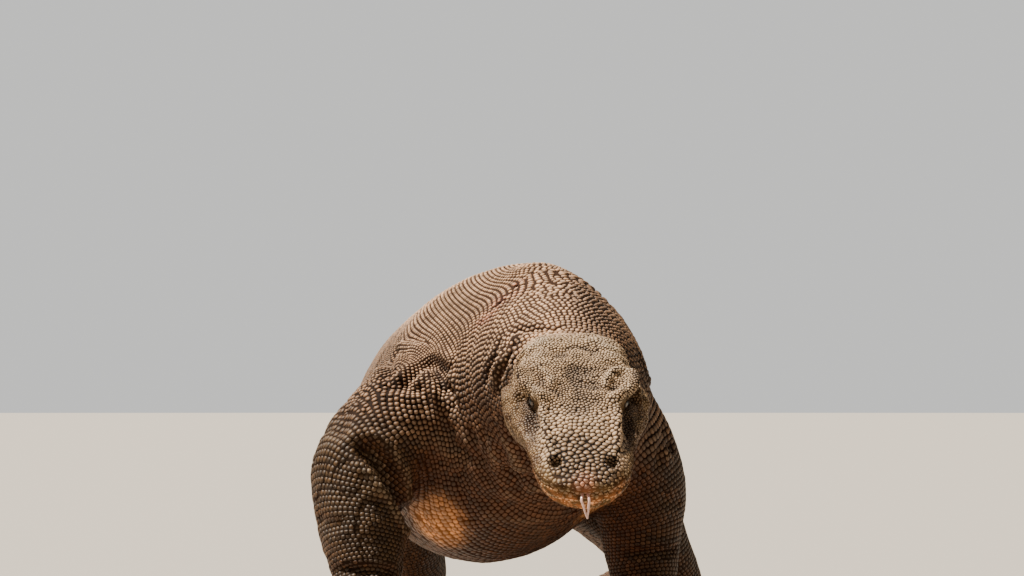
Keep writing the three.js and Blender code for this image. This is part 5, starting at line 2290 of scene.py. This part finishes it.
@dataclass
class Claws:
    """The horny claws, smoothed from their solids."""

    rig: Rig
    cell: float = 0.0006
    passes: float = 16.0

    def claw(self, node: str, ankle: Array, finish: bpy.types.Material) -> Piece:
        """Makes one claw.

        Args:
            node: Its solid.
            ankle: Where its foot joins the leg, to tell root from tip.
            finish: Its material.

        Returns:
            The claw.
        """
        surface = remeshed((node,), self.cell)
        surface.smooth(np.full(len(surface.points), self.passes))
        surface.points[:, 2] = surface.points[:, 2].clip(0.0001)
        piece = mesh_object(node.replace("claw", "horn_claw"), surface.points, surface.quads)
        away = np.linalg.norm(surface.points - ankle, axis=1)
        reach = (away - away.min()) / max(np.ptp(away), 1e-6)
        note(piece.data, {"reach": reach})
        return settle_piece(piece, node, finish)

    def build(self) -> list[Piece]:
        """Makes all the claws.

        Returns:
            The claws.
        """
        finish = CLAW_FINISH.material()
        made = []
        for limb, path in self.rig.limbs.items():
            ankle = self.rig.place(path[-1])
            for node in sorted(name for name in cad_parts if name.startswith(f"claw_{limb}")):
                made.append(self.claw(node, ankle, finish))
        return made


# ---- floor, light and camera ----


@dataclass
class Studio:
    """The pale floor, the soft light and the camera."""

    rig: Rig
    floor_radius: float = 60.0
    floor_sides: int = 96
    camera_at: Triple = (5.0, -5400.0, 300.0)
    lens: float = 175.78
    tilt: float = math.radians(1.17)
    sky: float = 0.16
    backdrop: float = 0.80
    sun: float = 10.5
    sun_width: float = math.radians(5.0)
    sun_from: Triple = (-0.52, 0.06, 1.0)

    def camera(self) -> None:
        """Sets the camera low in front of the animal, looking along its body."""
        data = bpy.data.cameras.new("view")
        data.lens = self.lens
        data.sensor_width = 36.0
        data.clip_end = 200.0
        camera = placed("view", data)
        camera.location = self.rig.place(self.camera_at)
        camera.rotation_euler = (math.pi / 2 + self.tilt, 0.0, 0.0)
        bpy.context.scene.camera = camera

    def floor(self) -> None:
        """Lays a large pale floor under the feet."""
        points = [(self.floor_radius * math.cos(turn), self.floor_radius * math.sin(turn), 0.0)
                  for turn in circle(self.floor_sides)]
        mesh = bpy.data.meshes.new("floor")
        mesh.from_pydata(points, [], [list(range(self.floor_sides))])
        material, _, shader = new_material("floor_paint")
        shader.inputs["Base Color"].default_value = (0.46, 0.42, 0.36, 1.0)
        shader.inputs["Roughness"].default_value = 0.9
        mesh.materials.append(material)
        placed("floor", mesh)

    def lights(self) -> None:
        """Puts a pale sky round the scene and a soft high sun over the left of the view."""
        world = bpy.data.worlds.new("studio")
        world.use_nodes = True
        background = world.node_tree.nodes["Background"]
        background.inputs["Color"].default_value = (0.96, 0.96, 0.94, 1.0)
        nodes = Nodes(world.node_tree)
        seen = nodes.add("ShaderNodeLightPath").outputs["Is Camera Ray"]
        nodes.link(nodes.range(seen, 0.0, 1.0, self.sky, self.backdrop), background.inputs["Strength"])
        bpy.context.scene.world = world
        lamp = bpy.data.lights.new("key", "SUN")
        lamp.energy = self.sun
        lamp.angle = self.sun_width
        lamp.color = (1.0, 0.93, 0.83)
        light = placed("key", lamp)
        light.rotation_euler = (-Vector(self.sun_from)).to_track_quat("-Z", "Y").to_euler()


def main() -> None:
    """Builds the animal and its studio and says what was made."""
    logging.basicConfig(level=logging.INFO, format="%(name)s: %(message)s")
    rig = Rig()
    studio = Studio(rig)
    studio.camera()
    studio.floor()
    studio.lights()
    hide = Hide(rig)
    markings = Markings()
    colours = markings_group()
    stretches = hide.stretches()
    lid_rings = hide.lid_rings()
    Eyeballs(rig, hide.lids).build()
    Tongue(rig).build()
    Claws(rig).build()
    skin = hide.built(stretches, lid_rings)
    places, normals = (read(skin.data.vertices, name) for name in ("co", "normal"))
    # Crown 0.04 gives the bare skin the dark gap colour, partly painted shade between the scales; the lid
    # rings take the lids' own values.
    crown = np.full(len(places), 0.04)
    crown[-len(lid_rings[0]):] = np.tile(np.repeat(hide.lids.pale, hide.lids.sides), 2)
    note(skin.data, markings.masks(places, normals, hide))
    note(skin.data, {"crown": crown, "scale_tone": np.full(len(places), 0.5)})
    skin.data.materials.append(HideFinish("skin", 0.80, 0.10, 0.5, 900.0, 0.10).material(colours))
    log.info("skin: %d faces", len(skin.data.polygons))
    coat = Coat(rig, hide, markings, HideFinish("scales", 0.60, 0.34, 0.25, 1500.0, 0.30).material(colours))
    pieces = coat.build(coat.roots(stretches, lid_rings))
    log.info("coat: %d pieces, %d triangles", len(pieces), sum(len(piece.data.polygons) for piece in pieces))


if __name__ == "__main__":
    main()
